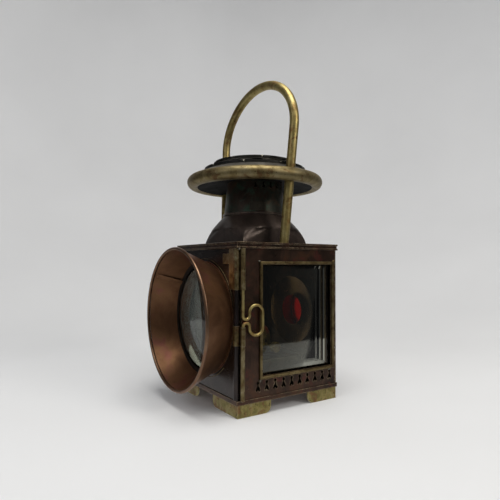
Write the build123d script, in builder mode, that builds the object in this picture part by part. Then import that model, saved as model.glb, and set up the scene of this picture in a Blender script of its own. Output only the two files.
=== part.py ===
from build123d import *
import math
import os

# Ship lantern: a square copper case on four brass feet, with a hooded bullseye door at the front (-Y),
# bevelled windows at the sides (+X and -X), a chimney with a brim and crown, and a fixed brass bow.
# Units are millimetres. The origin is the centre of the case on the plane the feet stand on, +Z up.

# ---- driving dimensions -------------------------------------------------------------------------
SHEET = 1.2                 # thickness of the case sheets
GAP = 0.3                   # clearance between the door and the fixed case
CASE_X = 68.4               # half width of the case over its side sheets
CASE_FRONT = -64.3          # front face of the fixed frame
CASE_REAR = 65.0            # rear face of the back sheet
FOOT_H = 12.9               # height of the feet
ROOF_LOW = 166.0            # lower edge of the roof's rim
ROOF_TOP = 172.7            # top of the roof tray
RIM_WALL = 1.0              # wall of the base and roof rims
RIM_HEIGHT = 4.4            # height of the base rim

DOOR_FRONT = -65.8          # outer face of the door sheet
LIGHT_Z = 92.2              # height of the lens's axis
LENS_R = 57.5
HOOD_BASE_R = 59.5
HOOD_RIM_R = 74.4
HOOD_RIM_Y = -102.0

WINDOW_Y = 10.6             # centre of each side window along Y
WINDOW_Z = 94.0             # and its height
FRAME_W = 101.0             # brass bead round the window, over its outside
FRAME_H = 118.8
BEAD = 3.2
OPENING_W = 94.0
OPENING_H = 111.8

NECK_LOW_R = 35.8
NECK_TOP_R = 32.4
NECK_LOW = 208.8
NECK_TOP = 245.0
RING_R = 72.2               # centre circle of the brim's brass ring
RING_Z = 245.4
RING_TUBE = 7.3
CROWN_R = 59.5

BOW_ROD = 5.0               # radius of the bow's rod
BOW_FOOT_X = 62.6           # half width of the bow at the roof
BOW_SPRING_X = 71.2         # and where its arch springs
BOW_SPRING = 124.8          # length of each leg, measured in the bow's own plane
BOW_RISE = 64.0
BOW_Y = -4.2
BOW_LEAN = 0.0535           # backward lean, millimetres of Y for each of Z

EDGE_X = 65.0               # centre of the roll on the door's free edge
EDGE_Y = -65.0
EDGE_R = 2.9
CATCH_X = 71.0              # centre of the catch wire's tubes
CATCH_Y = -61.1
CATCH_TUBE_R = 2.5
WIRE_R = 1.5
RUNNING = 0.07              # radial clearance of a shaft in its hole

HINGE_X = -70.6             # door hinge at the front left corner
HINGE_Y = -65.2
KNUCKLE_R = 2.2
PIN_R = 1.2

REAR_Z = 93.7               # height of the rear light's axis
REAR_R = 24.6
REAR_FLANGE_R = 31.0

BURNER_Y = -3.0             # centre of the burner and its wick
FONT_TOP = 49.0
SPINDLE_Z = 58.5
SPINDLE_Y = 1.9
SPINDLE_R = 1.5

PAN_TOP = FOOT_H + SHEET
ROOF_UNDER = ROOF_TOP - 1.5
PANEL_H = ROOF_UNDER - PAN_TOP
OUTER_X = CASE_X + RIM_WALL
OUTER_FRONT = DOOR_FRONT - RIM_WALL
OUTER_REAR = CASE_REAR + RIM_WALL
OUTER_Y = (OUTER_FRONT + OUTER_REAR) / 2
OUTER_D = OUTER_REAR - OUTER_FRONT

LIGHT_PLANE = Plane(origin=(0, 0, LIGHT_Z), x_dir=(1, 0, 0), z_dir=(0, 0, 1))
LIGHT_AXIS = Axis((0, 0, LIGHT_Z), (0, 1, 0))
REAR_PLANE = Plane(origin=(0, 0, REAR_Z), x_dir=(1, 0, 0), z_dir=(0, 0, 1))
REAR_AXIS = Axis((0, 0, REAR_Z), (0, 1, 0))

os.makedirs("parts", exist_ok=True)


def save(piece, node):
    """Label a finished piece and write it as one STEP file."""
    piece.part.label = node
    export_step(piece.part, f"parts/{node}.step")


def turned(outline, plane, axis):
    """A ring or shell turned about an axis from a closed outline of straight lines."""
    with BuildPart() as piece:
        with BuildSketch(plane):
            with BuildLine():
                Polyline(*outline, close=True)
            make_face()
        revolve(axis=axis)
    return piece


def keyhole(scale):
    """A punched vent: round head, narrow neck and a forked foot, drawn in the current sketch."""
    foot = [(0, 2.4), (3.1, -3.4), (1.9, -5.6), (0, -3.7), (-1.9, -5.6), (-3.1, -3.4)]
    with Locations((0, 3.6 * scale)):
        Circle(1.8 * scale)
    with Locations((0, 1.0 * scale)):
        Rectangle(1.5 * scale, 3.6 * scale)
    Polygon(*[(x * scale, y * scale) for x, y in foot], align=None)


def cap_arc(edge, crown):
    """An arc from a rim point to the crown point on the axis, with its centre on the axis."""
    sag = crown[1] - edge[1]
    radius = (edge[0] ** 2 + sag ** 2) / (2 * sag)
    middle = crown[1] - radius + math.copysign(math.sqrt(radius ** 2 - edge[0] ** 2 / 4), radius)
    ThreePointArc(edge, (edge[0] / 2, middle), crown)


def bow_leg_cutters(radius):
    """Two leaning cylinders along the bow's legs, for cutting clearance through the brim."""
    height = NECK_TOP + 30 - ROOF_TOP
    slope = (BOW_SPRING_X - BOW_FOOT_X) / BOW_SPRING
    for side in (1, -1):
        axis_plane = Plane(
            origin=(side * BOW_FOOT_X, BOW_Y, ROOF_TOP),
            z_dir=(side * slope, BOW_LEAN, 1),
        )
        with BuildSketch(axis_plane) as leg_section:
            Circle(radius)
        extrude(leg_section.sketch, amount=height, mode=Mode.SUBTRACT)


# ---- base, case and roof ------------------------------------------------------------------------
with BuildPart() as base_pan:
    with BuildSketch(Plane.XY.offset(FOOT_H)):
        with Locations((0, OUTER_Y)):
            Rectangle(2 * OUTER_X, OUTER_D)
    extrude(amount=SHEET)
    with BuildSketch(Plane.XY.offset(PAN_TOP)):
        with Locations((0, OUTER_Y)):
            Rectangle(2 * OUTER_X, OUTER_D)
            Rectangle(2 * CASE_X, OUTER_D - 2 * RIM_WALL, mode=Mode.SUBTRACT)
    extrude(amount=RIM_HEIGHT - SHEET)
    fillet(base_pan.edges().filter_by(Axis.Z).group_by(lambda e: abs(e.center().X))[-1], 0.6)
save(base_pan, "base_pan")

FOOT_T = 2.5
FOOT_ROUND = 7.0
FOOT_OUT_X = 68.0
FOOT_OUT_Y = 65.0
FOOT_FRONT_RUN = 50.0       # length of a foot's leg along X
FOOT_SIDE_RUN = 40.0        # and along Y


def foot_leg(corner, along, run, thickness):
    """One leg of a foot: an upright strip that runs from the corner, its free lower corner rounded."""
    with BuildSketch(Plane(origin=corner, x_dir=along, z_dir=Vector(along).cross(Vector(0, 0, 1)))) as strip:
        with BuildLine():
            Polyline((run - FOOT_ROUND, 0), (0, 0), (0, FOOT_H), (run, FOOT_H), (run, FOOT_ROUND))
            bend = FOOT_ROUND * (1 - math.sqrt(0.5))
            ThreePointArc((run, FOOT_ROUND), (run - bend, bend), (run - FOOT_ROUND, 0))
        make_face()
    extrude(strip.sketch, amount=thickness)


for side, side_name in ((1, "right"), (-1, "left")):
    for end, end_name in ((-1, "front"), (1, "rear")):
        foot_corner = (side * FOOT_OUT_X, end * FOOT_OUT_Y, 0)
        with BuildPart() as foot:
            foot_leg(foot_corner, (-side, 0, 0), FOOT_FRONT_RUN, -side * end * FOOT_T)
            foot_leg(foot_corner, (0, -end, 0), FOOT_SIDE_RUN, side * end * FOOT_T)
        save(foot, f"foot_{end_name}_{side_name}")

VENT_COUNT = 10
VENT_PITCH = 10.7
VENT_FIRST_Y = -41.2
VENT_Z = 28.0
POST_FRONT = -60.9          # front edge of the right side sheet, behind the door's edge roll
for side, side_name, front in ((1, "right", POST_FRONT), (-1, "left", CASE_FRONT)):
    rear = CASE_REAR - SHEET
    inner_face = CASE_X - SHEET if side > 0 else -CASE_X
    with BuildPart() as side_panel:
        with BuildSketch(Plane.YZ.offset(inner_face)):
            with Locations(((front + rear) / 2, PAN_TOP + PANEL_H / 2)):
                Rectangle(rear - front, PANEL_H)
            with Locations((WINDOW_Y, WINDOW_Z)):
                Rectangle(OPENING_W, OPENING_H, mode=Mode.SUBTRACT)
        extrude(amount=SHEET)
        with BuildSketch(Plane.YZ.offset(inner_face)):
            for number in range(VENT_COUNT):
                with BuildSketch(mode=Mode.PRIVATE) as vent:
                    keyhole(1.0)
                with Locations((VENT_FIRST_Y + number * VENT_PITCH, VENT_Z)):
                    add(vent.sketch)
        extrude(amount=SHEET, mode=Mode.SUBTRACT)
    save(side_panel, f"side_panel_{side_name}")

with BuildPart() as back_panel:
    with BuildSketch(Plane.XZ.offset(-CASE_REAR)):
        with Locations((0, PAN_TOP + PANEL_H / 2)):
            Rectangle(2 * CASE_X, PANEL_H)
        with Locations((0, REAR_Z)):
            Circle(REAR_R, mode=Mode.SUBTRACT)
    extrude(amount=SHEET)
save(back_panel, "back_panel")

FRAME_LEFT = -(CASE_X - SHEET)
FRAME_RIGHT = 60.8
DOORWAY_X = 55.0            # half width of the opening behind the door
DOORWAY_LOW = 16.5
DOORWAY_TOP = 158.0
with BuildPart() as front_frame:
    with BuildSketch(Plane.XZ.offset(-(CASE_FRONT + SHEET))):
        with Locations(((FRAME_LEFT + FRAME_RIGHT) / 2, PAN_TOP + PANEL_H / 2)):
            Rectangle(FRAME_RIGHT - FRAME_LEFT, PANEL_H)
        with Locations((0, (DOORWAY_LOW + DOORWAY_TOP) / 2)):
            Rectangle(2 * DOORWAY_X, DOORWAY_TOP - DOORWAY_LOW, mode=Mode.SUBTRACT)
    extrude(amount=SHEET)
save(front_frame, "front_frame")

POST_INNER_X = CASE_X - SHEET
POST_WEB_REAR = POST_FRONT + SHEET
with BuildPart() as corner_post:
    with BuildSketch(Plane.XY.offset(PAN_TOP)):
        with BuildLine():
            Polyline(
                (FRAME_RIGHT - SHEET, CASE_FRONT + SHEET),
                (FRAME_RIGHT, CASE_FRONT + SHEET),
                (FRAME_RIGHT, POST_FRONT),
                (POST_INNER_X, POST_FRONT),
                (POST_INNER_X, POST_WEB_REAR),
                (FRAME_RIGHT - SHEET, POST_WEB_REAR),
                close=True,
            )
        make_face()
    extrude(amount=PANEL_H)
save(corner_post, "corner_post")

ROOF_BEAD = 0.8             # how far the two beads stand out of the roof's rim
ROOF_BEAD_H = 1.8
HEAT_HOLE_R = 34.0
TENON_R = 3.0
with BuildPart() as roof_plate:
    with BuildSketch(Plane.XY.offset(ROOF_UNDER)):
        with Locations((0, OUTER_Y)):
            Rectangle(2 * OUTER_X, OUTER_D)
        Circle(HEAT_HOLE_R, mode=Mode.SUBTRACT)
        with Locations((BOW_FOOT_X, BOW_Y), (-BOW_FOOT_X, BOW_Y)):
            Circle(TENON_R, mode=Mode.SUBTRACT)
    extrude(amount=ROOF_TOP - ROOF_UNDER)
    with BuildSketch(Plane.XY.offset(ROOF_LOW)):
        with Locations((0, OUTER_Y)):
            Rectangle(2 * OUTER_X, OUTER_D)
            Rectangle(2 * CASE_X, OUTER_D - 2 * RIM_WALL, mode=Mode.SUBTRACT)
    extrude(amount=ROOF_UNDER - ROOF_LOW)
    for bead_z in (ROOF_LOW, ROOF_TOP - ROOF_BEAD_H):
        with BuildSketch(Plane.XY.offset(bead_z)):
            with Locations((0, OUTER_Y)):
                Rectangle(2 * (OUTER_X + ROOF_BEAD), OUTER_D + 2 * ROOF_BEAD)
                Rectangle(2 * OUTER_X - 0.2, OUTER_D - 0.2, mode=Mode.SUBTRACT)
        extrude(amount=ROOF_BEAD_H)
    outer_lines = [
        e for e in roof_plate.edges().filter_by(GeomType.LINE)
        if abs(e.center().Z - ROOF_TOP) < 0.01 or abs(e.center().Z - ROOF_LOW - ROOF_BEAD_H) < 0.01
        or abs(e.center().Z - ROOF_LOW) < 0.01 or abs(e.center().Z - ROOF_TOP + ROOF_BEAD_H) < 0.01
    ]
    bead_edges = [
        e for e in outer_lines
        if abs(e.center().X) > OUTER_X + 0.5
        or e.center().Y > OUTER_REAR + 0.5
        or e.center().Y < OUTER_FRONT - 0.5
    ]
    fillet(bead_edges, 0.55)
save(roof_plate, "roof_plate")

# ---- side windows: brass bead outside, bevelled glass, folded channel inside ----------------------
GLASS_W = 97.0
GLASS_H = 114.8
GLASS_T = 3.3
BEVEL = 6.0
BEVEL_DEPTH = 1.6
CHANNEL = 2.0
BEAD_H = 2.4
for side, side_name in ((1, "right"), (-1, "left")):
    outward = Plane(origin=(side * CASE_X, WINDOW_Y, WINDOW_Z), x_dir=(0, side, 0), z_dir=(side, 0, 0))
    with BuildPart() as window_frame:
        with BuildSketch(outward):
            Rectangle(FRAME_W, FRAME_H)
            Rectangle(FRAME_W - 2 * BEAD, FRAME_H - 2 * BEAD, mode=Mode.SUBTRACT)
        extrude(amount=BEAD_H)
        fillet(window_frame.faces().sort_by(Axis.X)[-1 if side > 0 else 0].edges(), 1.1)
    save(window_frame, f"window_frame_{side_name}")

    with BuildPart() as window_glass:
        with BuildSketch(outward.offset(-SHEET - GLASS_T)):
            Rectangle(GLASS_W, GLASS_H)
        extrude(amount=GLASS_T - BEVEL_DEPTH)
        with BuildSketch(outward.offset(-SHEET - BEVEL_DEPTH)):
            Rectangle(GLASS_W, GLASS_H)
        with BuildSketch(outward.offset(-SHEET)):
            Rectangle(GLASS_W - 2 * BEVEL, GLASS_H - 2 * BEVEL)
        loft()
    save(window_glass, f"window_glass_{side_name}")

    with BuildPart() as glass_channel:
        with BuildSketch(outward.offset(-SHEET - GLASS_T)):
            Rectangle(GLASS_W + 2 * CHANNEL, GLASS_H + 2 * CHANNEL)
            Rectangle(GLASS_W, GLASS_H, mode=Mode.SUBTRACT)
        extrude(amount=GLASS_T)
        with BuildSketch(outward.offset(-SHEET - GLASS_T - 1.0)):
            Rectangle(GLASS_W + 2 * CHANNEL, GLASS_H + 2 * CHANNEL)
            Rectangle(GLASS_W - 3 * CHANNEL, GLASS_H - 3 * CHANNEL, mode=Mode.SUBTRACT)
        extrude(amount=1.0)
    save(glass_channel, f"glass_channel_{side_name}")

# ---- chimney: square-to-round dome, neck, brim and crown ----------------------------------------
# Sections of the dome: height, half width and corner radius.
DOME_SECTIONS = (
    (ROOF_TOP, 43.0, 2.2),
    (183.0, 42.6, 10.0),
    (192.0, 41.3, 20.0),
    (201.0, 38.6, 33.0),
    (206.0, 36.2, 36.1),
)
with BuildPart() as dome:
    for height, half, corner in DOME_SECTIONS:
        with BuildSketch(Plane.XY.offset(height)):
            RectangleRounded(2 * half, 2 * half, corner)
    loft()
    for height, half, corner in DOME_SECTIONS:
        with BuildSketch(Plane.XY.offset(height)):
            RectangleRounded(2 * (half - SHEET), 2 * (half - SHEET), corner - SHEET)
    loft(mode=Mode.SUBTRACT)
save(dome, "dome")

DOME_TOP = DOME_SECTIONS[-1][0]
neck_collar = turned(
    [
        (34.7, DOME_TOP), (36.9, DOME_TOP), (37.7, DOME_TOP + 0.8), (37.7, DOME_TOP + 1.8),
        (36.9, DOME_TOP + 2.5), (36.0, NECK_LOW), (34.7, NECK_LOW),
    ],
    Plane.XZ, Axis.Z,
)
save(neck_collar, "neck_collar")

NECK_SHEET = 1.0
NECK_VENT_Z = 239.4
NECK_VENT_STEP = 16.0       # degrees between the small vents of one side
NECK_VENT_SCALE = 0.62
NECK_VENT_START = 28.0      # radius that the vent cutters start from
with BuildPart() as neck:
    with BuildSketch(Plane.XZ):
        with BuildLine():
            Polyline(
                (NECK_LOW_R - NECK_SHEET, NECK_LOW),
                (NECK_LOW_R, NECK_LOW),
                (NECK_TOP_R, NECK_TOP),
                (NECK_TOP_R - NECK_SHEET, NECK_TOP),
                close=True,
            )
        make_face()
    revolve(axis=Axis.Z)
    for side_angle in (0, 180):
        for step in (-2, -1, 0, 1, 2):
            angle = math.radians(side_angle + step * NECK_VENT_STEP)
            outward = Vector(math.cos(angle), math.sin(angle), 0)
            face_plane = Plane(
                origin=outward * NECK_VENT_START + Vector(0, 0, NECK_VENT_Z),
                x_dir=(-math.sin(angle), math.cos(angle), 0),
                z_dir=outward,
            )
            with BuildSketch(face_plane):
                keyhole(NECK_VENT_SCALE)
            extrude(amount=8, mode=Mode.SUBTRACT)
save(neck, "neck")


def neck_radius(height):
    """Outer radius of the tapered neck at a height."""
    share = (height - NECK_LOW) / (NECK_TOP - NECK_LOW)
    return NECK_LOW_R + share * (NECK_TOP_R - NECK_LOW_R)


PATCH_LOW = 210.2
PATCH_TOP = 219.6
PATCH_T = 0.6
PATCH_START = -43.0
PATCH_ARC = 30.0
with BuildPart() as neck_patch:
    with BuildSketch(Plane.XZ.rotated((0, 0, PATCH_START))):
        with BuildLine():
            Polyline(
                (neck_radius(PATCH_LOW), PATCH_LOW),
                (neck_radius(PATCH_LOW) + PATCH_T, PATCH_LOW),
                (neck_radius(PATCH_TOP) + PATCH_T, PATCH_TOP),
                (neck_radius(PATCH_TOP), PATCH_TOP),
                close=True,
            )
        make_face()
    revolve(axis=Axis.Z, revolution_arc=PATCH_ARC)
save(neck_patch, "neck_patch")

LEG_CLEAR = BOW_ROD + 0.15
BRIM_EDGE_R = 67.6          # the brim slopes down from the neck to the lower inner side of the ring
BRIM_EDGE_Z = 239.7
BRIM_T = 1.2                # brim plate's thickness
BRIM_SEAT = 1.0             # flat part that rests on the neck
BRIM_TUCK = 1.5             # upper edge drawn in where the ring starts
with BuildPart() as brim_plate:
    with BuildSketch(Plane.XZ):
        with BuildLine():
            Polyline(
                (NECK_TOP_R - NECK_SHEET, NECK_TOP),
                (NECK_TOP_R + BRIM_SEAT, NECK_TOP),
                (BRIM_EDGE_R, BRIM_EDGE_Z),
                (BRIM_EDGE_R - BRIM_TUCK, BRIM_EDGE_Z + BRIM_T),
                (NECK_TOP_R + BRIM_SEAT, NECK_TOP + BRIM_T),
                (NECK_TOP_R - NECK_SHEET, NECK_TOP + BRIM_T),
                close=True,
            )
        make_face()
    revolve(axis=Axis.Z)
    bow_leg_cutters(LEG_CLEAR)
save(brim_plate, "brim_plate")

RING_MOUTH = 155.0          # half angle of the rolled section, open towards the chimney
MOUTH_X = math.cos(math.radians(RING_MOUTH))
MOUTH_Z = math.sin(math.radians(RING_MOUTH))
RING_INNER = RING_TUBE - SHEET
with BuildPart() as brim_ring:
    with BuildSketch(Plane.XZ):
        with BuildLine():
            upper_out = (RING_R + RING_TUBE * MOUTH_X, RING_Z + RING_TUBE * MOUTH_Z)
            upper_in = (RING_R + RING_INNER * MOUTH_X, RING_Z + RING_INNER * MOUTH_Z)
            lower_in = (RING_R + RING_INNER * MOUTH_X, RING_Z - RING_INNER * MOUTH_Z)
            lower_out = (RING_R + RING_TUBE * MOUTH_X, RING_Z - RING_TUBE * MOUTH_Z)
            ThreePointArc(upper_out, (RING_R + RING_TUBE, RING_Z), lower_out)
            Line(lower_out, lower_in)
            ThreePointArc(lower_in, (RING_R + RING_INNER, RING_Z), upper_in)
            Line(upper_in, upper_out)
        make_face()
    revolve(axis=Axis.Z)
    bow_leg_cutters(LEG_CLEAR)
    add(brim_ring.solids().sort_by(SortBy.VOLUME)[-1], mode=Mode.REPLACE)
save(brim_ring, "brim_ring")

LOWER_DISC_Z = 258.9
TOP_DISC_R = 48.5
TOP_DISC_EDGE = 267.2       # lower edge of the top disc's lip
TOP_DISC_Z = 269.0
TOP_CROWN_Z = 274.0
with BuildPart() as cap_cone:
    with BuildSketch(Plane.XZ):
        with BuildLine():
            Polyline(
                (69.0, 252.0), (69.8, 252.4), (58.5, LOWER_DISC_Z), (57.3, LOWER_DISC_Z), (57.3, 258.2),
                close=True,
            )
        make_face()
    revolve(axis=Axis.Z)
    bow_leg_cutters(LEG_CLEAR)
save(cap_cone, "cap_cone")

NOTCHES = 9                 # bent tabs round each disc of the crown
NOTCH = 3.2
NOTCH_CUT = 4.0             # more than the lip's height, so that the notch is open at the top
LOWER_NOTCH_TURN = -5.5     # angle of each disc's first notch
TOP_NOTCH_TURN = -24.0
TOP_NOTCH_DROP = 1.5
LIP = 1.3
LIP_H = 1.6
CROWN_HOLE_R = 38.0
DISC = 1.2                  # thickness of the crown's discs


def crown_notches(first_angle, radius, height):
    """Cut the small square notches that leave the bent tabs round a crown disc's lip."""
    for number in range(NOTCHES):
        angle = first_angle + number * 360 / NOTCHES
        with BuildSketch(Plane.XY.offset(height)) as notch:
            with Locations(Location((0, 0, 0), (0, 0, angle))):
                with Locations((radius, 0)):
                    Rectangle(NOTCH, NOTCH, rotation=45)
        extrude(notch.sketch, amount=NOTCH_CUT, mode=Mode.SUBTRACT)


with BuildPart() as crown_lower_disc:
    with BuildSketch(Plane.XY.offset(LOWER_DISC_Z)):
        Circle(CROWN_R)
        Circle(CROWN_HOLE_R, mode=Mode.SUBTRACT)
    extrude(amount=DISC)
    with BuildSketch(Plane.XY.offset(LOWER_DISC_Z + DISC)):
        Circle(CROWN_R)
        Circle(CROWN_R - LIP, mode=Mode.SUBTRACT)
    extrude(amount=LIP_H)
    crown_notches(LOWER_NOTCH_TURN, CROWN_R, LOWER_DISC_Z + DISC)
save(crown_lower_disc, "crown_lower_disc")

BAFFLE_R = 46.4
BAFFLE_T = 1.2
BAFFLE_LOW = LOWER_DISC_Z + DISC
BAFFLE_TOP = TOP_DISC_Z - DISC
SLOTS = 12                  # draught slots round the baffle
SLOT_W = 12.0
SLOT_DEPTH = 8.0
SLOT_MARGIN = 1.8           # metal left under and over each slot
with BuildPart() as crown_baffle:
    with BuildSketch(Plane.XY.offset(BAFFLE_LOW)):
        Circle(BAFFLE_R)
        Circle(BAFFLE_R - BAFFLE_T, mode=Mode.SUBTRACT)
    extrude(amount=BAFFLE_TOP - BAFFLE_LOW)
    with BuildSketch(Plane.XY.offset(BAFFLE_LOW + SLOT_MARGIN)):
        for number in range(SLOTS):
            with Locations(Location((0, 0, 0), (0, 0, number * 360 / SLOTS))):
                with Locations((BAFFLE_R, 0)):
                    Rectangle(SLOT_DEPTH, SLOT_W)
    extrude(amount=BAFFLE_TOP - BAFFLE_LOW - 2 * SLOT_MARGIN, mode=Mode.SUBTRACT)
save(crown_baffle, "crown_baffle")

PRESSED_R = 42.0            # where the top disc starts to rise, on its underside
PRESSED_OUTER_R = 42.4
with BuildPart() as crown_top_disc:
    with BuildSketch(Plane.XZ):
        with BuildLine():
            Line((0, TOP_CROWN_Z), (0, TOP_CROWN_Z - DISC))
            cap_arc((PRESSED_R, BAFFLE_TOP), (0, TOP_CROWN_Z - DISC))
            Line((PRESSED_R, BAFFLE_TOP), (TOP_DISC_R - LIP, BAFFLE_TOP))
            Line((TOP_DISC_R - LIP, BAFFLE_TOP), (TOP_DISC_R - LIP, TOP_DISC_EDGE))
            Line((TOP_DISC_R - LIP, TOP_DISC_EDGE), (TOP_DISC_R, TOP_DISC_EDGE))
            Line((TOP_DISC_R, TOP_DISC_EDGE), (TOP_DISC_R, TOP_DISC_Z))
            Line((TOP_DISC_R, TOP_DISC_Z), (PRESSED_OUTER_R, TOP_DISC_Z))
            cap_arc((PRESSED_OUTER_R, TOP_DISC_Z), (0, TOP_CROWN_Z))
        make_face()
    revolve(axis=Axis.Z)
    crown_notches(TOP_NOTCH_TURN, TOP_DISC_R, TOP_DISC_EDGE - TOP_NOTCH_DROP)
save(crown_top_disc, "crown_top_disc")

# ---- bow and its nuts ---------------------------------------------------------------------------
BOW_PLANE = Plane(origin=(0, BOW_Y, ROOF_TOP), x_dir=(1, 0, 0), z_dir=(0, -1, BOW_LEAN))
LEG_SLOPE = (BOW_SPRING_X - BOW_FOOT_X) / BOW_SPRING
BELOW = 3.0                 # the legs start below the roof and are cut flush with it
ROUND = 0.5523              # handle length of a quarter round, as a share of its radius
with BuildPart() as bow:
    with BuildLine(BOW_PLANE) as bow_line:
        Line((BOW_FOOT_X - LEG_SLOPE * BELOW, -BELOW), (BOW_SPRING_X, BOW_SPRING))
        Bezier(
            (BOW_SPRING_X, BOW_SPRING),
            (BOW_SPRING_X + LEG_SLOPE * ROUND * BOW_RISE, BOW_SPRING + ROUND * BOW_RISE),
            (ROUND * BOW_SPRING_X, BOW_SPRING + BOW_RISE),
            (0, BOW_SPRING + BOW_RISE),
        )
        Bezier(
            (0, BOW_SPRING + BOW_RISE),
            (-ROUND * BOW_SPRING_X, BOW_SPRING + BOW_RISE),
            (-BOW_SPRING_X - LEG_SLOPE * ROUND * BOW_RISE, BOW_SPRING + ROUND * BOW_RISE),
            (-BOW_SPRING_X, BOW_SPRING),
        )
        Line((-BOW_SPRING_X, BOW_SPRING), (-BOW_FOOT_X + LEG_SLOPE * BELOW, -BELOW))
    with BuildSketch(Plane(origin=bow_line.line @ 0, z_dir=bow_line.line % 0)):
        Circle(BOW_ROD)
    sweep(path=bow_line.line)
    split(bisect_by=Plane.XY.offset(ROOF_TOP), keep=Keep.TOP)
    with BuildSketch(Plane.XY.offset(ROOF_TOP)):
        with Locations((BOW_FOOT_X, BOW_Y), (-BOW_FOOT_X, BOW_Y)):
            Circle(TENON_R)
    extrude(amount=-6.0)
save(bow, "handle")

NUT_R = 4.4
with BuildPart() as handle_nuts:
    with BuildSketch(Plane.XY.offset(ROOF_UNDER)):
        with Locations((BOW_FOOT_X, BOW_Y), (-BOW_FOOT_X, BOW_Y)):
            RegularPolygon(NUT_R, 6, rotation=30)
            Circle(TENON_R, mode=Mode.SUBTRACT)
    extrude(amount=-3.5)
save(handle_nuts, "handle_nuts")

# ---- front door with its hood and lens -----------------------------------------------------------
DOOR_LOW = FOOT_H + RIM_HEIGHT + GAP
DOOR_TOP = ROOF_LOW - GAP
DOOR_LEFT = -68.0
DOOR_RIGHT = EDGE_X - EDGE_R
DOOR_HOLE_R = 54.0
with BuildPart() as front_door:
    with BuildSketch(Plane.XZ.offset(-(DOOR_FRONT + SHEET))):
        with Locations(((DOOR_LEFT + DOOR_RIGHT) / 2, (DOOR_LOW + DOOR_TOP) / 2)):
            Rectangle(DOOR_RIGHT - DOOR_LEFT, DOOR_TOP - DOOR_LOW)
        with Locations((0, LIGHT_Z)):
            Circle(DOOR_HOLE_R, mode=Mode.SUBTRACT)
    extrude(amount=SHEET)
save(front_door, "front_door")

with BuildPart() as door_edge_roll:
    with BuildSketch(Plane.XY.offset(DOOR_LOW)):
        with Locations((EDGE_X, EDGE_Y)):
            Circle(EDGE_R)
            Circle(EDGE_R - 1.0, mode=Mode.SUBTRACT)
    extrude(amount=DOOR_TOP - DOOR_LOW)
save(door_edge_roll, "door_edge_roll")

STRAP = 0.6
UPPER_STRAP = (125.0, DOOR_TOP)
LOWER_STRAP = (70.4, 90.0)
LEAF_LEFT = 52.9            # the upper strap's leaf on the door, beside the hood's foot
LEAF_RIGHT = 62.0
WIDE_LEAF_LEFT = 40.5       # and its wide upper part
WIDE_LEAF = (150.5, 161.0)
for name, (low, top), has_leaf in (
    ("door_strap_upper", UPPER_STRAP, True),
    ("door_strap_lower", LOWER_STRAP, False),
):
    with BuildPart() as door_strap:
        with BuildSketch(Plane.XY.offset(low)):
            with Locations((EDGE_X, EDGE_Y)):
                Circle(EDGE_R + STRAP)
                Circle(EDGE_R, mode=Mode.SUBTRACT)
            with Locations((DOOR_RIGHT - 1.0, DOOR_FRONT + SHEET / 2 + 0.3)):
                Rectangle(2.6, SHEET + 0.6, mode=Mode.SUBTRACT)
        extrude(amount=top - low)
        if has_leaf:
            with BuildSketch(Plane.XZ.offset(-DOOR_FRONT)):
                with Locations(((LEAF_LEFT + LEAF_RIGHT) / 2, (low + top) / 2)):
                    Rectangle(LEAF_RIGHT - LEAF_LEFT, top - low)
                with Locations(((WIDE_LEAF_LEFT + LEAF_RIGHT) / 2, sum(WIDE_LEAF) / 2)):
                    Rectangle(LEAF_RIGHT - WIDE_LEAF_LEFT, WIDE_LEAF[1] - WIDE_LEAF[0])
            extrude(amount=STRAP)
    save(door_strap, name)

HOOD_SHEET = 1.0
HOOD_END_Y = HOOD_RIM_Y + 1.7
HOOD_END_R = 74.2
FLANGE_R = 61.2
hood = turned(
    [
        (HOOD_BASE_R - HOOD_SHEET, DOOR_FRONT), (FLANGE_R, DOOR_FRONT), (FLANGE_R, DOOR_FRONT - 0.8),
        (HOOD_BASE_R + 0.34, DOOR_FRONT - 0.8), (HOOD_END_R, HOOD_END_Y),
        (HOOD_END_R - HOOD_SHEET, HOOD_END_Y),
    ],
    LIGHT_PLANE, LIGHT_AXIS,
)
save(hood, "hood")

with BuildPart() as hood_rim:
    with BuildSketch(LIGHT_PLANE):
        with Locations((HOOD_RIM_R, HOOD_RIM_Y)):
            Circle(1.65)
    revolve(axis=LIGHT_AXIS)
save(hood_rim, "hood_rim")

LENS_EDGE_Y = DOOR_FRONT - 3.6
LENS_CROWN_Y = DOOR_FRONT - 14.6
with BuildPart() as lens:
    with BuildSketch(LIGHT_PLANE):
        with BuildLine():
            Line((0, LENS_CROWN_Y), (0, DOOR_FRONT))
            Line((0, DOOR_FRONT), (LENS_R, DOOR_FRONT))
            Line((LENS_R, DOOR_FRONT), (LENS_R, LENS_EDGE_Y))
            cap_arc((LENS_R, LENS_EDGE_Y), (0, LENS_CROWN_Y))
        make_face()
    revolve(axis=LIGHT_AXIS)
save(lens, "lens")

lens_ring = turned(
    [(56.0, -71.6), (60.9, -71.6), (60.4, -70.4), (56.0, -70.4)],
    LIGHT_PLANE, LIGHT_AXIS,
)
save(lens_ring, "lens_ring")

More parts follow.
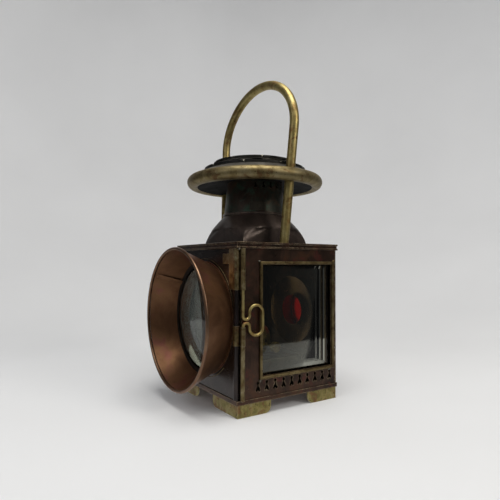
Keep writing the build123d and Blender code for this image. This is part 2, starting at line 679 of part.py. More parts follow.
# ---- hinge: body and door knuckles alternate on two pins ----------------------------------------
HINGE_STARTS = (32.0, 130.0)
KNUCKLE_H = 8.0
LEAF_T = 0.8
LEAF_REACH = 12.0           # width of a hinge leaf on the case
with BuildPart() as hinge_body_knuckles:
    for start in HINGE_STARTS:
        for low in (start, start + 2 * KNUCKLE_H):
            with BuildSketch(Plane.XY.offset(low)):
                with Locations((HINGE_X, HINGE_Y)):
                    Circle(KNUCKLE_R)
                with Locations((-CASE_X - LEAF_T / 2, CASE_FRONT + LEAF_REACH / 2)):
                    Rectangle(LEAF_T, LEAF_REACH)
                with Locations((HINGE_X, HINGE_Y)):
                    Circle(PIN_R, mode=Mode.SUBTRACT)
            extrude(amount=KNUCKLE_H)
        with BuildSketch(Plane.XY.offset(start + KNUCKLE_H)):
            with Locations((-CASE_X - LEAF_T / 2, CASE_FRONT + 8)):
                Rectangle(LEAF_T, 8)
        extrude(amount=KNUCKLE_H)
save(hinge_body_knuckles, "hinge_body_knuckles")

with BuildPart() as hinge_door_knuckles:
    for start in HINGE_STARTS:
        with BuildSketch(Plane.XY.offset(start + KNUCKLE_H + GAP)):
            with Locations((HINGE_X, HINGE_Y)):
                Circle(KNUCKLE_R)
            with Locations((-63.0, DOOR_FRONT - LEAF_T / 2)):
                Rectangle(14.0, LEAF_T)
            with Locations((HINGE_X, HINGE_Y)):
                Circle(PIN_R + RUNNING, mode=Mode.SUBTRACT)
        extrude(amount=KNUCKLE_H - 2 * GAP)
save(hinge_door_knuckles, "hinge_door_knuckles")

with BuildPart() as hinge_pins:
    for start in HINGE_STARTS:
        with BuildSketch(Plane.XY.offset(start)):
            with Locations((HINGE_X, HINGE_Y)):
                Circle(PIN_R)
        extrude(amount=3 * KNUCKLE_H)
        with BuildSketch(Plane.XY.offset(start + 3 * KNUCKLE_H)):
            with Locations((HINGE_X, HINGE_Y)):
                Circle(PIN_R + 0.7)
        extrude(amount=1.0)
save(hinge_pins, "hinge_pins")

# ---- catch: a wire with a finger loop, its two legs in tubes on the corner -----------------------
UPPER_TUBE = (125.0, ROOF_LOW)
LOWER_TUBE = (70.4, 88.6)
TUBE_LEAF = 0.8             # thickness of the leaf that holds each tube to the side sheet
TUBE_LEAF_W = 4.2
for name, (low, top) in (("latch_tube_upper", UPPER_TUBE), ("latch_tube_lower", LOWER_TUBE)):
    with BuildPart() as latch_tube:
        with BuildSketch(Plane.XY.offset(low)):
            with Locations((CATCH_X, CATCH_Y)):
                Circle(CATCH_TUBE_R)
            with Locations((CASE_X + TUBE_LEAF / 2, CATCH_Y + TUBE_LEAF_W / 2)):
                Rectangle(TUBE_LEAF, TUBE_LEAF_W)
            with Locations((CATCH_X, CATCH_Y)):
                Circle(WIRE_R + RUNNING, mode=Mode.SUBTRACT)
        extrude(amount=top - low)
    save(latch_tube, name)

with BuildPart() as corner_roll:
    with BuildSketch(Plane.XY.offset(FOOT_H + RIM_HEIGHT)):
        with Locations((CATCH_X - 0.2, CATCH_Y)):
            Circle(2.3)
            Circle(1.3, mode=Mode.SUBTRACT)
    extrude(amount=LOWER_TUBE[0] - FOOT_H - RIM_HEIGHT)
save(corner_roll, "corner_roll")

BEND_R = 3.6                # small bends beside the tubes
LOOP_R = 7.5                # ends of the finger loop
LOOP_IN = 2 * BEND_R
LOOP_OUT = LOOP_IN + 2 * LOOP_R
WIRE_TOP = 145.0
WIRE_LOW = 72.5
UPPER_BEND_Z = 99.9
LOWER_BEND_Z = 89.2
LOOP_TOP_Z = 102.4
LOOP_LOW_Z = 87.7
CATCH_PLANE = Plane(origin=(CATCH_X, CATCH_Y, 0), x_dir=(0.09, 0.996, 0), z_dir=(0.996, -0.09, 0))
with BuildPart() as latch_wire:
    with BuildLine(CATCH_PLANE) as wire_line:
        Line((0, WIRE_TOP), (0, UPPER_BEND_Z))
        ThreePointArc((0, UPPER_BEND_Z), (BEND_R, UPPER_BEND_Z - BEND_R), (LOOP_IN, UPPER_BEND_Z))
        Line((LOOP_IN, UPPER_BEND_Z), (LOOP_IN, LOOP_TOP_Z))
        ThreePointArc(
            (LOOP_IN, LOOP_TOP_Z), (LOOP_IN + LOOP_R, LOOP_TOP_Z + LOOP_R), (LOOP_OUT, LOOP_TOP_Z)
        )
        Line((LOOP_OUT, LOOP_TOP_Z), (LOOP_OUT, LOOP_LOW_Z))
        ThreePointArc(
            (LOOP_OUT, LOOP_LOW_Z), (LOOP_IN + LOOP_R, LOOP_LOW_Z - LOOP_R), (LOOP_IN, LOOP_LOW_Z)
        )
        Line((LOOP_IN, LOOP_LOW_Z), (LOOP_IN, LOWER_BEND_Z))
        ThreePointArc((LOOP_IN, LOWER_BEND_Z), (BEND_R, LOWER_BEND_Z + BEND_R), (0, LOWER_BEND_Z))
        Line((0, LOWER_BEND_Z), (0, WIRE_LOW))
    with BuildSketch(Plane(origin=wire_line.line @ 0, z_dir=wire_line.line % 0)):
        Circle(WIRE_R)
    sweep(path=wire_line.line)
save(latch_wire, "latch_wire")

# ---- rear red light -----------------------------------------------------------------------------
TUBE_END = 82.0
RED_BACK = 76.5             # flat inner face of the red glass
RED_EDGE = 79.0
RED_CROWN = 83.0            # top of its outward curve
BEZEL_R = 22.6
BEZEL_Y = 80.4
rear_tube = turned(
    [
        (REAR_R, CASE_REAR), (REAR_FLANGE_R, CASE_REAR), (REAR_FLANGE_R, CASE_REAR + SHEET),
        (REAR_R + SHEET, CASE_REAR + SHEET),
        (REAR_R + SHEET, TUBE_END), (REAR_R, TUBE_END),
    ],
    REAR_PLANE, REAR_AXIS,
)
save(rear_tube, "rear_tube")

with BuildPart() as red_lens:
    with BuildSketch(REAR_PLANE):
        with BuildLine():
            Line((0, RED_BACK), (REAR_R, RED_BACK))
            Line((REAR_R, RED_BACK), (REAR_R, RED_EDGE))
            cap_arc((REAR_R, RED_EDGE), (0, RED_CROWN))
            Line((0, RED_CROWN), (0, RED_BACK))
        make_face()
    revolve(axis=REAR_AXIS)
save(red_lens, "red_lens")

rear_bezel = turned(
    [(BEZEL_R, BEZEL_Y), (REAR_R, BEZEL_Y), (REAR_R, TUBE_END), (BEZEL_R, TUBE_END)],
    REAR_PLANE, REAR_AXIS,
)
save(rear_bezel, "rear_bezel")

DISH_R = 41.4               # the dished reflector's rim
DISH_RIM = 54.6
DISH_MID_R = 31.0
DISH_MID = 58.5
DISH_DEEP = 60.6            # where the dish meets its spigot
DISH_T = 1.0
SPIGOT_R = 19.4
SPIGOT_T = 0.9
SPIGOT_Y = 56.0
SPIGOT_LIP = 0.8
SPIGOT_LIP_R = 28.0
BACK_INNER = CASE_REAR - SHEET
with BuildPart() as reflector:
    with BuildSketch(REAR_PLANE):
        with BuildLine():
            ThreePointArc((SPIGOT_R, DISH_DEEP), (DISH_MID_R, DISH_MID), (DISH_R, DISH_RIM))
            Line((DISH_R, DISH_RIM), (DISH_R, DISH_RIM + DISH_T))
            ThreePointArc(
                (DISH_R, DISH_RIM + DISH_T), (DISH_MID_R, DISH_MID + DISH_T), (SPIGOT_R, DISH_DEEP + DISH_T)
            )
            Line((SPIGOT_R, DISH_DEEP + DISH_T), (SPIGOT_R, DISH_DEEP))
        make_face()
    revolve(axis=REAR_AXIS)
    with BuildSketch(REAR_PLANE):
        with BuildLine():
            Polyline(
                (SPIGOT_R - SPIGOT_T, SPIGOT_Y), (SPIGOT_R, SPIGOT_Y), (SPIGOT_R, BACK_INNER - SPIGOT_LIP),
                (SPIGOT_LIP_R, BACK_INNER - SPIGOT_LIP), (SPIGOT_LIP_R, BACK_INNER),
                (SPIGOT_R - SPIGOT_T, BACK_INNER),
                close=True,
            )
        make_face()
    revolve(axis=REAR_AXIS)
save(reflector, "reflector")

# ---- oil font and burner ------------------------------------------------------------------------
FONT_LOW = PAN_TOP + 1.2
FONT_X = 96.0
FONT_D = 78.0
FONT_WALL = 0.8
FONT_CORNER = 10.0
RAIL_X = 38.0               # the two rails that the font stands on
RAIL_W = 7.0
RAIL_L = 88.0
BURNER_HOLE_R = 14.0
FILLER_WALL = 1.5
FILLER_X = -34.0
FILLER_Y = 16.0
FILLER_R = 8.5
with BuildPart() as font_rails:
    with BuildSketch(Plane.XY.offset(PAN_TOP)):
        with Locations((-RAIL_X, BURNER_Y), (RAIL_X, BURNER_Y)):
            Rectangle(RAIL_W, RAIL_L)
    extrude(amount=FONT_LOW - PAN_TOP)
save(font_rails, "font_rails")

with BuildPart() as oil_font:
    with BuildSketch(Plane.XY.offset(FONT_LOW)):
        with Locations((0, BURNER_Y)):
            RectangleRounded(FONT_X, FONT_D, FONT_CORNER)
    extrude(amount=FONT_TOP - FONT_LOW)
    fillet(oil_font.faces().sort_by(Axis.Z)[-1].edges(), 2.0)
    with BuildSketch(Plane.XY.offset(FONT_LOW + FONT_WALL)):
        with Locations((0, BURNER_Y)):
            RectangleRounded(FONT_X - 2 * FONT_WALL, FONT_D - 2 * FONT_WALL, FONT_CORNER - FONT_WALL)
    extrude(amount=FONT_TOP - FONT_LOW - 2 * FONT_WALL - 1.4, mode=Mode.SUBTRACT)
    with BuildSketch(Plane.XY.offset(FONT_TOP - 6)):
        with Locations((0, BURNER_Y)):
            Circle(BURNER_HOLE_R)
        with Locations((FILLER_X, FILLER_Y)):
            Circle(FILLER_R - FILLER_WALL)
    extrude(amount=8, mode=Mode.SUBTRACT)
save(oil_font, "oil_font")

with BuildPart() as filler_neck:
    with BuildSketch(Plane.XY.offset(FONT_TOP)):
        with Locations((FILLER_X, FILLER_Y)):
            Circle(FILLER_R)
            Circle(FILLER_R - FILLER_WALL, mode=Mode.SUBTRACT)
    extrude(amount=4)
save(filler_neck, "filler_neck")

CAP_R = 10.3
CAP_LIFT = 0.4              # gap between the closed cap and the font
CAP_GROOVES = 20
with BuildPart() as filler_cap:
    with BuildSketch(Plane.XY.offset(FONT_TOP + CAP_LIFT)):
        with Locations((FILLER_X, FILLER_Y)):
            Circle(CAP_R)
    extrude(amount=6)
    fillet(filler_cap.faces().sort_by(Axis.Z)[-1].edges(), 1.2)
    with BuildSketch(Plane.XY.offset(FONT_TOP + CAP_LIFT)):
        with Locations((FILLER_X, FILLER_Y)):
            Circle(FILLER_R + GAP)
    extrude(amount=4, mode=Mode.SUBTRACT)
    with BuildSketch(Plane.XY.offset(FONT_TOP + CAP_LIFT)):
        for number in range(CAP_GROOVES):
            with Locations(Location((FILLER_X, FILLER_Y, 0), (0, 0, number * 360 / CAP_GROOVES))):
                with Locations((CAP_R + 0.1, 0)):
                    Rectangle(0.8, 1.2)
    extrude(amount=4.6, mode=Mode.SUBTRACT)
save(filler_cap, "filler_cap")

COLLAR_R = 17.5
with BuildPart() as burner_collar:
    with BuildSketch(Plane.XY.offset(FONT_TOP)):
        with Locations((0, BURNER_Y)):
            Circle(COLLAR_R)
            Circle(BURNER_HOLE_R, mode=Mode.SUBTRACT)
    extrude(amount=4)
save(burner_collar, "burner_collar")

COLLAR_TOP = FONT_TOP + 4
GALLERY_R = 21.5
GALLERY_TOP = 66.0
AIR_HOLES = 12              # round the burner's gallery
TUBE_W = 21.8
TUBE_D = 4.4
TUBE_WALL = 0.6
TUBE_LOW = 44.0
TUBE_TOP = 80.6
WICK_LOW = 26.0
WICK_W = 20.0
WICK_T = 2.6
WICK_L = 56.0
CONE_TOP = 85.0             # crown of the flame cone
CONE_T = 1.0
FLAME_SLOT_W = 24.0
FLAME_SLOT_D = 7.0
BURNER_PLANE = Plane(origin=(0, BURNER_Y, 0), x_dir=(1, 0, 0), z_dir=(0, -1, 0))
BURNER_AXIS = Axis((0, BURNER_Y, 0), (0, 0, 1))
SPINDLE_PLANE = Plane(origin=(0, SPINDLE_Y, SPINDLE_Z), x_dir=(0, 1, 0), z_dir=(1, 0, 0))
with BuildPart() as burner_body:
    with BuildSketch(BURNER_PLANE):
        with BuildLine():
            Polyline(
                (0, COLLAR_TOP), (COLLAR_R, COLLAR_TOP), (GALLERY_R, COLLAR_TOP + 3),
                (GALLERY_R, GALLERY_TOP), (GALLERY_R - 1, GALLERY_TOP), (GALLERY_R - 1, COLLAR_TOP + 3.6),
                (17.0, COLLAR_TOP + 1), (0, COLLAR_TOP + 1),
                close=True,
            )
        make_face()
    revolve(axis=BURNER_AXIS)
    with BuildSketch(Plane.XY.offset(COLLAR_TOP)):
        with Locations((0, BURNER_Y)):
            Rectangle(TUBE_W, TUBE_D)
    extrude(amount=2, mode=Mode.SUBTRACT)
    with BuildSketch(SPINDLE_PLANE.offset(-30)):
        Circle(SPINDLE_R + RUNNING)
    extrude(amount=60, mode=Mode.SUBTRACT)
    with BuildSketch(Plane.XY.offset(GALLERY_TOP - 5)):
        for number in range(AIR_HOLES):
            with Locations(Location((0, BURNER_Y, 0), (0, 0, (number + 0.5) * 360 / AIR_HOLES))):
                with Locations((GALLERY_R, 0)):
                    Rectangle(6, 4)
    extrude(amount=3.5, mode=Mode.SUBTRACT)
save(burner_body, "burner_body")

WHEEL_X = (-6.0, 0.0, 6.0)
WHEEL_R = 3.1
WHEEL_ROOT_R = 2.3
TEETH = 8
WHEEL_T = 1.6
with BuildPart() as wick_tube:
    with BuildSketch(Plane.XY.offset(TUBE_LOW)):
        with Locations((0, BURNER_Y)):
            Rectangle(TUBE_W, TUBE_D)
            Rectangle(TUBE_W - 2 * TUBE_WALL, TUBE_D - 2 * TUBE_WALL, mode=Mode.SUBTRACT)
    extrude(amount=TUBE_TOP - TUBE_LOW)
    with BuildSketch(Plane.XY.offset(SPINDLE_Z - 4)):
        with Locations(*[(x, BURNER_Y + TUBE_D / 2) for x in WHEEL_X]):
            Rectangle(WHEEL_T + 1.2, 2.0)
    extrude(amount=8, mode=Mode.SUBTRACT)
save(wick_tube, "wick_tube")

with BuildPart() as wick:
    with BuildSketch(Plane.XY.offset(WICK_LOW)):
        with Locations((0, BURNER_Y)):
            Rectangle(WICK_W, WICK_T)
    extrude(amount=WICK_L)
save(wick, "wick")

with BuildPart() as flame_cone:
    with BuildSketch(BURNER_PLANE):
        with BuildLine():
            cap_arc((GALLERY_R, GALLERY_TOP), (0, CONE_TOP))
            Line((0, CONE_TOP), (0, CONE_TOP - CONE_T))
            cap_arc((GALLERY_R - CONE_T, GALLERY_TOP), (0, CONE_TOP - CONE_T))
            Line((GALLERY_R - 1, GALLERY_TOP), (GALLERY_R, GALLERY_TOP))
        make_face()
    revolve(axis=BURNER_AXIS)
    with BuildSketch(Plane.XY.offset(76)):
        with Locations((0, BURNER_Y)):
            Rectangle(FLAME_SLOT_W, FLAME_SLOT_D)
    extrude(amount=12, mode=Mode.SUBTRACT)
save(flame_cone, "flame_cone")

SPINDLE_LEFT = -23.0
KNOB_X = 36.0
KNOB_T = 5.5
KNOB_R = 5.75
KNOB_GROOVES = 18
with BuildPart() as winder_spindle:
    with BuildSketch(SPINDLE_PLANE.offset(SPINDLE_LEFT)):
        Circle(SPINDLE_R)
    extrude(amount=KNOB_X + 4 - SPINDLE_LEFT)
    for wheel_x in WHEEL_X:
        with BuildSketch(SPINDLE_PLANE.offset(wheel_x - WHEEL_T / 2)):
            with BuildLine():
                Polyline(
                    *[
                        (
                            (WHEEL_R if tooth % 2 == 0 else WHEEL_ROOT_R) * math.cos(tooth * math.pi / TEETH),
                            (WHEEL_R if tooth % 2 == 0 else WHEEL_ROOT_R) * math.sin(tooth * math.pi / TEETH),
                        )
                        for tooth in range(2 * TEETH)
                    ],
                    close=True,
                )
            make_face()
        extrude(amount=WHEEL_T)
save(winder_spindle, "winder_spindle")

with BuildPart() as winder_knob:
    with BuildSketch(SPINDLE_PLANE.offset(KNOB_X)):
        Circle(KNOB_R)
        for number in range(KNOB_GROOVES):
            with Locations(Location((0, 0, 0), (0, 0, number * 360 / KNOB_GROOVES))):
                with Locations((KNOB_R, 0)):
                    Rectangle(0.8, 0.9, mode=Mode.SUBTRACT)
    extrude(amount=KNOB_T)
    with BuildSketch(SPINDLE_PLANE.offset(KNOB_X)):
        Circle(SPINDLE_R)
    extrude(amount=4, mode=Mode.SUBTRACT)
save(winder_knob, "winder_knob")
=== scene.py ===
import logging
import math
from collections.abc import Callable, Iterator
from contextlib import contextmanager
from dataclasses import dataclass, field, replace
from enum import Enum

import bpy
from mathutils import Matrix, Vector


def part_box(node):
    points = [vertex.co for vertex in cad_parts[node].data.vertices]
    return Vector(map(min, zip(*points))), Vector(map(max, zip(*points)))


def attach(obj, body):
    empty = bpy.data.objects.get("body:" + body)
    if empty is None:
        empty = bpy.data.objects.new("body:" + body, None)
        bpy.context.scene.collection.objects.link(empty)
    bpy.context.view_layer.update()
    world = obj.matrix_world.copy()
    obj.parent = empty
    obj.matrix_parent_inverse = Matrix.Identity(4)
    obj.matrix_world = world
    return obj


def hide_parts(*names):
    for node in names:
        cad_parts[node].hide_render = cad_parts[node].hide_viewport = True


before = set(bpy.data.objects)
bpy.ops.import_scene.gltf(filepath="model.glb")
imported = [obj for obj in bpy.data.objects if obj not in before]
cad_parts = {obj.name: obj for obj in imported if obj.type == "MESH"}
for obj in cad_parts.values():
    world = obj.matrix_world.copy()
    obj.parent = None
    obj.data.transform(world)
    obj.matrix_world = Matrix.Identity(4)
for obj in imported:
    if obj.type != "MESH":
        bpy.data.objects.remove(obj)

# Ship lantern, in metres: the front with its hood looks along -Y, the right window along +X.
log = logging.getLogger("ship_lantern")

MM = 0.001

# Vertices closer than this, in metres, are merged in a new piece.
WELD_DISTANCE = 0.00001
# Least angle that a share is divided by.
LEAST_ANGLE = 1e-6
# Numbers of the Mix node's sockets for colours.
MIX_SHARE, MIX_BELOW, MIX_ABOVE, MIX_RESULT = 0, 6, 7, 2
# How well the rounded and the flat normal agree where an edge starts to show and where it shows in full.
EDGE_FADE = (0.995, 0.9)
# Noise values where a patch or spot starts and is full, each with how far its cover lowers it.
PATCH_FADE = ((0.66, 0.3), (0.74, 0.2))
SPOT_FADE = ((0.72, 0.2), (0.8, 0.2))
# How far a metal's seed moves its patterns along each axis, and where two of them start.
SEED_SHARES = (1.0, 0.7, 1.3)
PATCH_SHIFT = (3.1, 1.7)
SHINE_SHIFT = (5.0, 0.0, 2.0)

Stops = tuple[tuple[float, str], ...]
Socket = bpy.types.NodeSocket


class Element(Enum):
    """Elements of a mesh that can be selected, each with the name of its list."""

    EDGE = "edges"
    FACE = "polygons"


def paint(code: str) -> tuple[float, float, float, float]:
    """Turn a hexadecimal colour into linear light.

    Args:
        code: six hexadecimal digits, two for each of red, green and blue.

    Returns:
        The colour with an alpha of one.
    """
    parts = [int(code[start:start + 2], 16) / 255 for start in (0, 2, 4)]
    red, green, blue = (p / 12.92 if p <= 0.04045 else ((p + 0.055) / 1.055) ** 2.4 for p in parts)
    return red, green, blue, 1.0


class Graph:
    """The node tree of one finish, with short calls for the patterns that finishes share."""

    def __init__(self, name: str) -> None:
        """Start an empty material.

        Args:
            name: the material's name.
        """
        self.material = bpy.data.materials.new(name)
        self.material.use_nodes = True
        self.tree = self.material.node_tree
        self.tree.nodes.clear()
        self.output = self.node("ShaderNodeOutputMaterial")
        self.place: Socket = self.node("ShaderNodeTexCoord").outputs["Object"]

    def node(self, kind: str, **settings: object) -> bpy.types.Node:
        """Add a node.

        Args:
            kind: the node's Blender type.
            settings: properties to set on it.

        Returns:
            The new node.
        """
        made = self.tree.nodes.new(kind)
        for name, value in settings.items():
            setattr(made, name, value)
        return made

    def join(self, source: Socket, target: Socket) -> None:
        """Link two sockets."""
        self.tree.links.new(source, target)

    def feed(self, target: Socket, value: Socket | float | tuple[float, ...]) -> None:
        """Give a socket a link or a fixed value.

        Args:
            target: the input to set.
            value: another node's output, or a number or colour.
        """
        if isinstance(value, bpy.types.NodeSocket):
            self.join(value, target)
        else:
            target.default_value = value

    def mapped(
        self,
        scale: tuple[float, float, float] = (1.0, 1.0, 1.0),
        shift: tuple[float, float, float] = (0.0, 0.0, 0.0),
    ) -> Socket:
        """Stretch or shift the object's own coordinates.

        Args:
            scale: factor along each axis.
            shift: move along each axis.

        Returns:
            The changed coordinates.
        """
        made = self.node("ShaderNodeMapping")
        made.inputs["Scale"].default_value = scale
        made.inputs["Location"].default_value = shift
        self.join(self.place, made.inputs["Vector"])
        return made.outputs["Vector"]

    def cloud(
        self, scale: float, detail: float = 5.0, rough: float = 0.6, warp: float = 0.0,
        place: Socket | None = None,
    ) -> Socket:
        """Soft noise.

        Args:
            scale: how many features fit in a metre.
            detail: number of finer layers.
            rough: strength of the finer layers.
            warp: how far the pattern is twisted.
            place: coordinates, or the object's own.

        Returns:
            The noise's value, mostly between 0.3 and 0.7.
        """
        made = self.node("ShaderNodeTexNoise")
        made.inputs["Scale"].default_value = scale
        made.inputs["Detail"].default_value = detail
        made.inputs["Roughness"].default_value = rough
        made.inputs["Distortion"].default_value = warp
        self.join(place or self.place, made.inputs["Vector"])
        return made.outputs["Fac"]

    def ramp(self, value: Socket, stops: Stops) -> Socket:
        """Colours laid along a value.

        Args:
            value: the value to read.
            stops: positions from 0 to 1, each with its colour code.

        Returns:
            The colour.
        """
        made = self.node("ShaderNodeValToRGB")
        elements = made.color_ramp.elements
        while len(elements) < len(stops):
            elements.new(0.5)
        for element, (position, code) in zip(elements, stops):
            element.position = position
            element.color = paint(code)
        self.join(value, made.inputs["Fac"])
        return made.outputs["Color"]

    def spread(self, value: Socket, low: float, high: float, start: float = 0.0, end: float = 1.0) -> Socket:
        """Stretch a range of values onto another, clamped.

        Args:
            value: the value to read.
            low: value that becomes start.
            high: value that becomes end.
            start: lowest result.
            end: highest result.

        Returns:
            The stretched value.
        """
        made = self.node("ShaderNodeMapRange")
        self.join(value, made.inputs["Value"])
        for socket, number in (("From Min", low), ("From Max", high), ("To Min", start), ("To Max", end)):
            made.inputs[socket].default_value = number
        return made.outputs["Result"]

    def calc(self, operation: str, first: Socket | float, second: Socket | float = 0.0) -> Socket:
        """Arithmetic on two values, clamped to 0 and 1.

        Args:
            operation: the Math node's operation.
            first: first value.
            second: second value.

        Returns:
            The result.
        """
        made = self.node("ShaderNodeMath", operation=operation, use_clamp=True)
        self.feed(made.inputs[0], first)
        self.feed(made.inputs[1], second)
        return made.outputs[0]

    def blend(self, share: Socket | float, below: Socket, above: Socket | str) -> Socket:
        """Lay one colour over another.

        Args:
            share: how much of the upper colour shows.
            below: the lower colour.
            above: the upper colour, or its code.

        Returns:
            The mixed colour.
        """
        made = self.node("ShaderNodeMix", data_type="RGBA")
        self.feed(made.inputs[MIX_SHARE], share)
        self.join(below, made.inputs[MIX_BELOW])
        self.feed(made.inputs[MIX_ABOVE], paint(above) if isinstance(above, str) else above)
        return made.outputs[MIX_RESULT]

    def edges(self, width: float) -> Socket:
        """Find the edges and folds of a shape.

        Args:
            width: how far from an edge it is felt, in metres.

        Returns:
            A value that is 0 on open faces and rises near an edge.
        """
        rounded = self.node("ShaderNodeBevel", samples=4)
        rounded.inputs["Radius"].default_value = width
        flat = self.node("ShaderNodeNewGeometry")
        match = self.node("ShaderNodeVectorMath", operation="DOT_PRODUCT")
        self.join(rounded.outputs["Normal"], match.inputs[0])
        self.join(flat.outputs["Normal"], match.inputs[1])
        return self.spread(match.outputs["Value"], *EDGE_FADE)

    def bump(self, height: Socket, distance: float, normal: Socket | None = None) -> Socket:
        """Relief from a height.

        Args:
            height: the height, from 0 to 1.
            distance: height in metres of a full step.
            normal: relief already there.

        Returns:
            The new normal.
        """
        made = self.node("ShaderNodeBump")
        made.inputs["Strength"].default_value = 1.0
        made.inputs["Distance"].default_value = distance
        self.join(height, made.inputs["Height"])
        if normal:
            self.join(normal, made.inputs["Normal"])
        return made.outputs["Normal"]

    def principled(self, constants: dict[str, float | tuple[float, ...]]) -> bpy.types.Node:
        """Add the main shader and join it to the output.

        Args:
            constants: values that are the same all over, by socket name.

        Returns:
            The shader node.
        """
        shader = self.node("ShaderNodeBsdfPrincipled")
        for name, value in constants.items():
            shader.inputs[name].default_value = value
        self.join(shader.outputs["BSDF"], self.output.inputs["Surface"])
        return shader


def faded(limits: tuple[tuple[float, float], tuple[float, float]], cover: float) -> tuple[float, float]:
    """Find the noise values between which a patch or spot fades in.

    Args:
        limits: where it starts and where it is full, each with how far its cover lowers it.
        cover: how much of the surface it covers, from 0 to 1.

    Returns:
        The value where it starts and the value where it is full.
    """
    (start, start_fall), (full, full_fall) = limits
    return start - start_fall * cover, full - full_fall * cover


@dataclass(frozen=True)
class AgedMetal:
    """Old sheet or rod metal: mottled oxide, patches, dark spots, streaks, pale edges that are partly wear
    and partly painted highlight, and small dents.
    """

    name: str
    tones: Stops
    patch: str
    spot: str
    worn_and_highlight: str
    patch_cover: float = 0.4
    spot_cover: float = 0.3
    wear_and_highlight: float = 0.6
    wear_and_highlight_width: float = 0.9 * MM
    roughness: tuple[float, float] = (0.3, 0.5)
    metallic: float = 0.9
    coat: float = 0.0
    cloud_scale: float = 34.0
    patch_scale: float = 60.0
    spot_scale: float = 420.0
    streak: tuple[float, float, float] = (220.0, 220.0, 14.0)
    streak_depth: float = 0.25
    dents: float = 0.5 * MM
    grain: float = 0.05 * MM
    seed: float = 0.0
    patch_strength: float = 0.85
    spot_strength: float = 0.8
    spot_dulling: float = 0.18
    wear_and_highlight_breakup_scale: float = 150.0
    shine_scale: float = 90.0
    dent_scale: float = 26.0
    grain_scale: float = 900.0
    coat_roughness: float = 0.16

    def make(self) -> bpy.types.Material:
        """Build the material.

        Returns:
            The finished material.
        """
        g = Graph(self.name)
        place = g.mapped(shift=tuple(self.seed * share for share in SEED_SHARES))
        colour = g.ramp(g.cloud(self.cloud_scale, 6.0, 0.62, 0.7, place), self.tones)
        patches = g.spread(
            g.cloud(self.patch_scale, 6.0, 0.66, 1.1, g.mapped(shift=(*PATCH_SHIFT, self.seed))),
            *faded(PATCH_FADE, self.patch_cover),
        )
        colour = g.blend(g.calc("MULTIPLY", patches, self.patch_strength), colour, self.patch)
        streaks = g.spread(g.cloud(1.0, 4.0, 0.6, 0.0, g.mapped(scale=self.streak)), 0.5, 0.72)
        colour = g.blend(g.calc("MULTIPLY", streaks, self.streak_depth), colour, self.spot)
        spots = g.spread(
            g.cloud(self.spot_scale, 3.0, 0.55, 0.4, place), *faded(SPOT_FADE, self.spot_cover),
        )
        colour = g.blend(g.calc("MULTIPLY", spots, self.spot_strength), colour, self.spot)
        # Pale edge colour, broken up by noise: partly wear, partly painted edge highlight.
        wear_and_highlight_breakup = g.spread(g.cloud(self.wear_and_highlight_breakup_scale, 4.0, 0.7, 0.3, place), 0.36, 0.62)
        worn_and_highlight = g.calc("MULTIPLY", g.edges(self.wear_and_highlight_width), g.calc("MULTIPLY", wear_and_highlight_breakup, self.wear_and_highlight))
        colour = g.blend(worn_and_highlight, colour, self.worn_and_highlight)
        shine = g.cloud(self.shine_scale, 5.0, 0.65, 0.2, g.mapped(shift=SHINE_SHIFT))
        rough = g.spread(shine, 0.32, 0.68, *self.roughness)
        rough = g.calc("ADD", rough, g.calc("MULTIPLY", spots, self.spot_dulling))
        normal = g.bump(g.cloud(self.dent_scale, 2.0, 0.5, 0.0, place), self.dents)
        normal = g.bump(g.cloud(self.grain_scale, 3.0, 0.6), self.grain, normal)
        shader = g.principled({
            "Metallic": self.metallic, "Coat Weight": self.coat, "Coat Roughness": self.coat_roughness,
        })
        g.join(colour, shader.inputs["Base Color"])
        g.join(rough, shader.inputs["Roughness"])
        g.join(normal, shader.inputs["Normal"])
        return g.material


@dataclass(frozen=True)
class SheetGlass:
    """Old window glass: see-through and glossy, with a slightly wavy face."""

    name: str
    tint: str
    gloss: float = 0.03
    index: float = 1.5
    wave_scale: float = 24.0
    wave_depth: float = 0.08 * MM

    def make(self) -> bpy.types.Material:
        """Build the material.

        Returns:
            The finished material.
        """
        g = Graph(self.name)
        clear = g.node("ShaderNodeBsdfTransparent")
        clear.inputs["Color"].default_value = paint(self.tint)
        gloss = g.node("ShaderNodeBsdfGlossy")
        gloss.inputs["Roughness"].default_value = self.gloss
        g.join(g.bump(g.cloud(self.wave_scale, 1.0), self.wave_depth), gloss.inputs["Normal"])
        turn = g.node("ShaderNodeFresnel")
        turn.inputs["IOR"].default_value = self.index
        glass = g.node("ShaderNodeMixShader")
        g.join(turn.outputs[0], glass.inputs[0])
        g.join(clear.outputs[0], glass.inputs[1])
        g.join(gloss.outputs[0], glass.inputs[2])
        g.join(glass.outputs[0], g.output.inputs["Surface"])
        return g.material


@dataclass(frozen=True)
class ThickGlass:
    """Solid cast glass that bends light, faintly coloured and slightly seedy."""

    name: str
    tones: Stops
    roughness: tuple[float, float] = (0.01, 0.06)
    clear: float = 1.0
    index: float = 1.5
    tint_scale: float = 30.0
    haze_scale: float = 120.0
    ripple_scale: float = 40.0
    ripple_depth: float = 0.1 * MM

    def make(self) -> bpy.types.Material:
        """Build the material.

        Returns:
            The finished material.
        """
        g = Graph(self.name)
        shader = g.principled({"Transmission Weight": self.clear, "IOR": self.index})
        g.join(g.ramp(g.cloud(self.tint_scale, 4.0), self.tones), shader.inputs["Base Color"])
        haze = g.cloud(self.haze_scale, 5.0, 0.7)
        g.join(g.spread(haze, 0.35, 0.7, *self.roughness), shader.inputs["Roughness"])
        g.join(g.bump(g.cloud(self.ripple_scale, 2.0), self.ripple_depth), shader.inputs["Normal"])
        return g.material


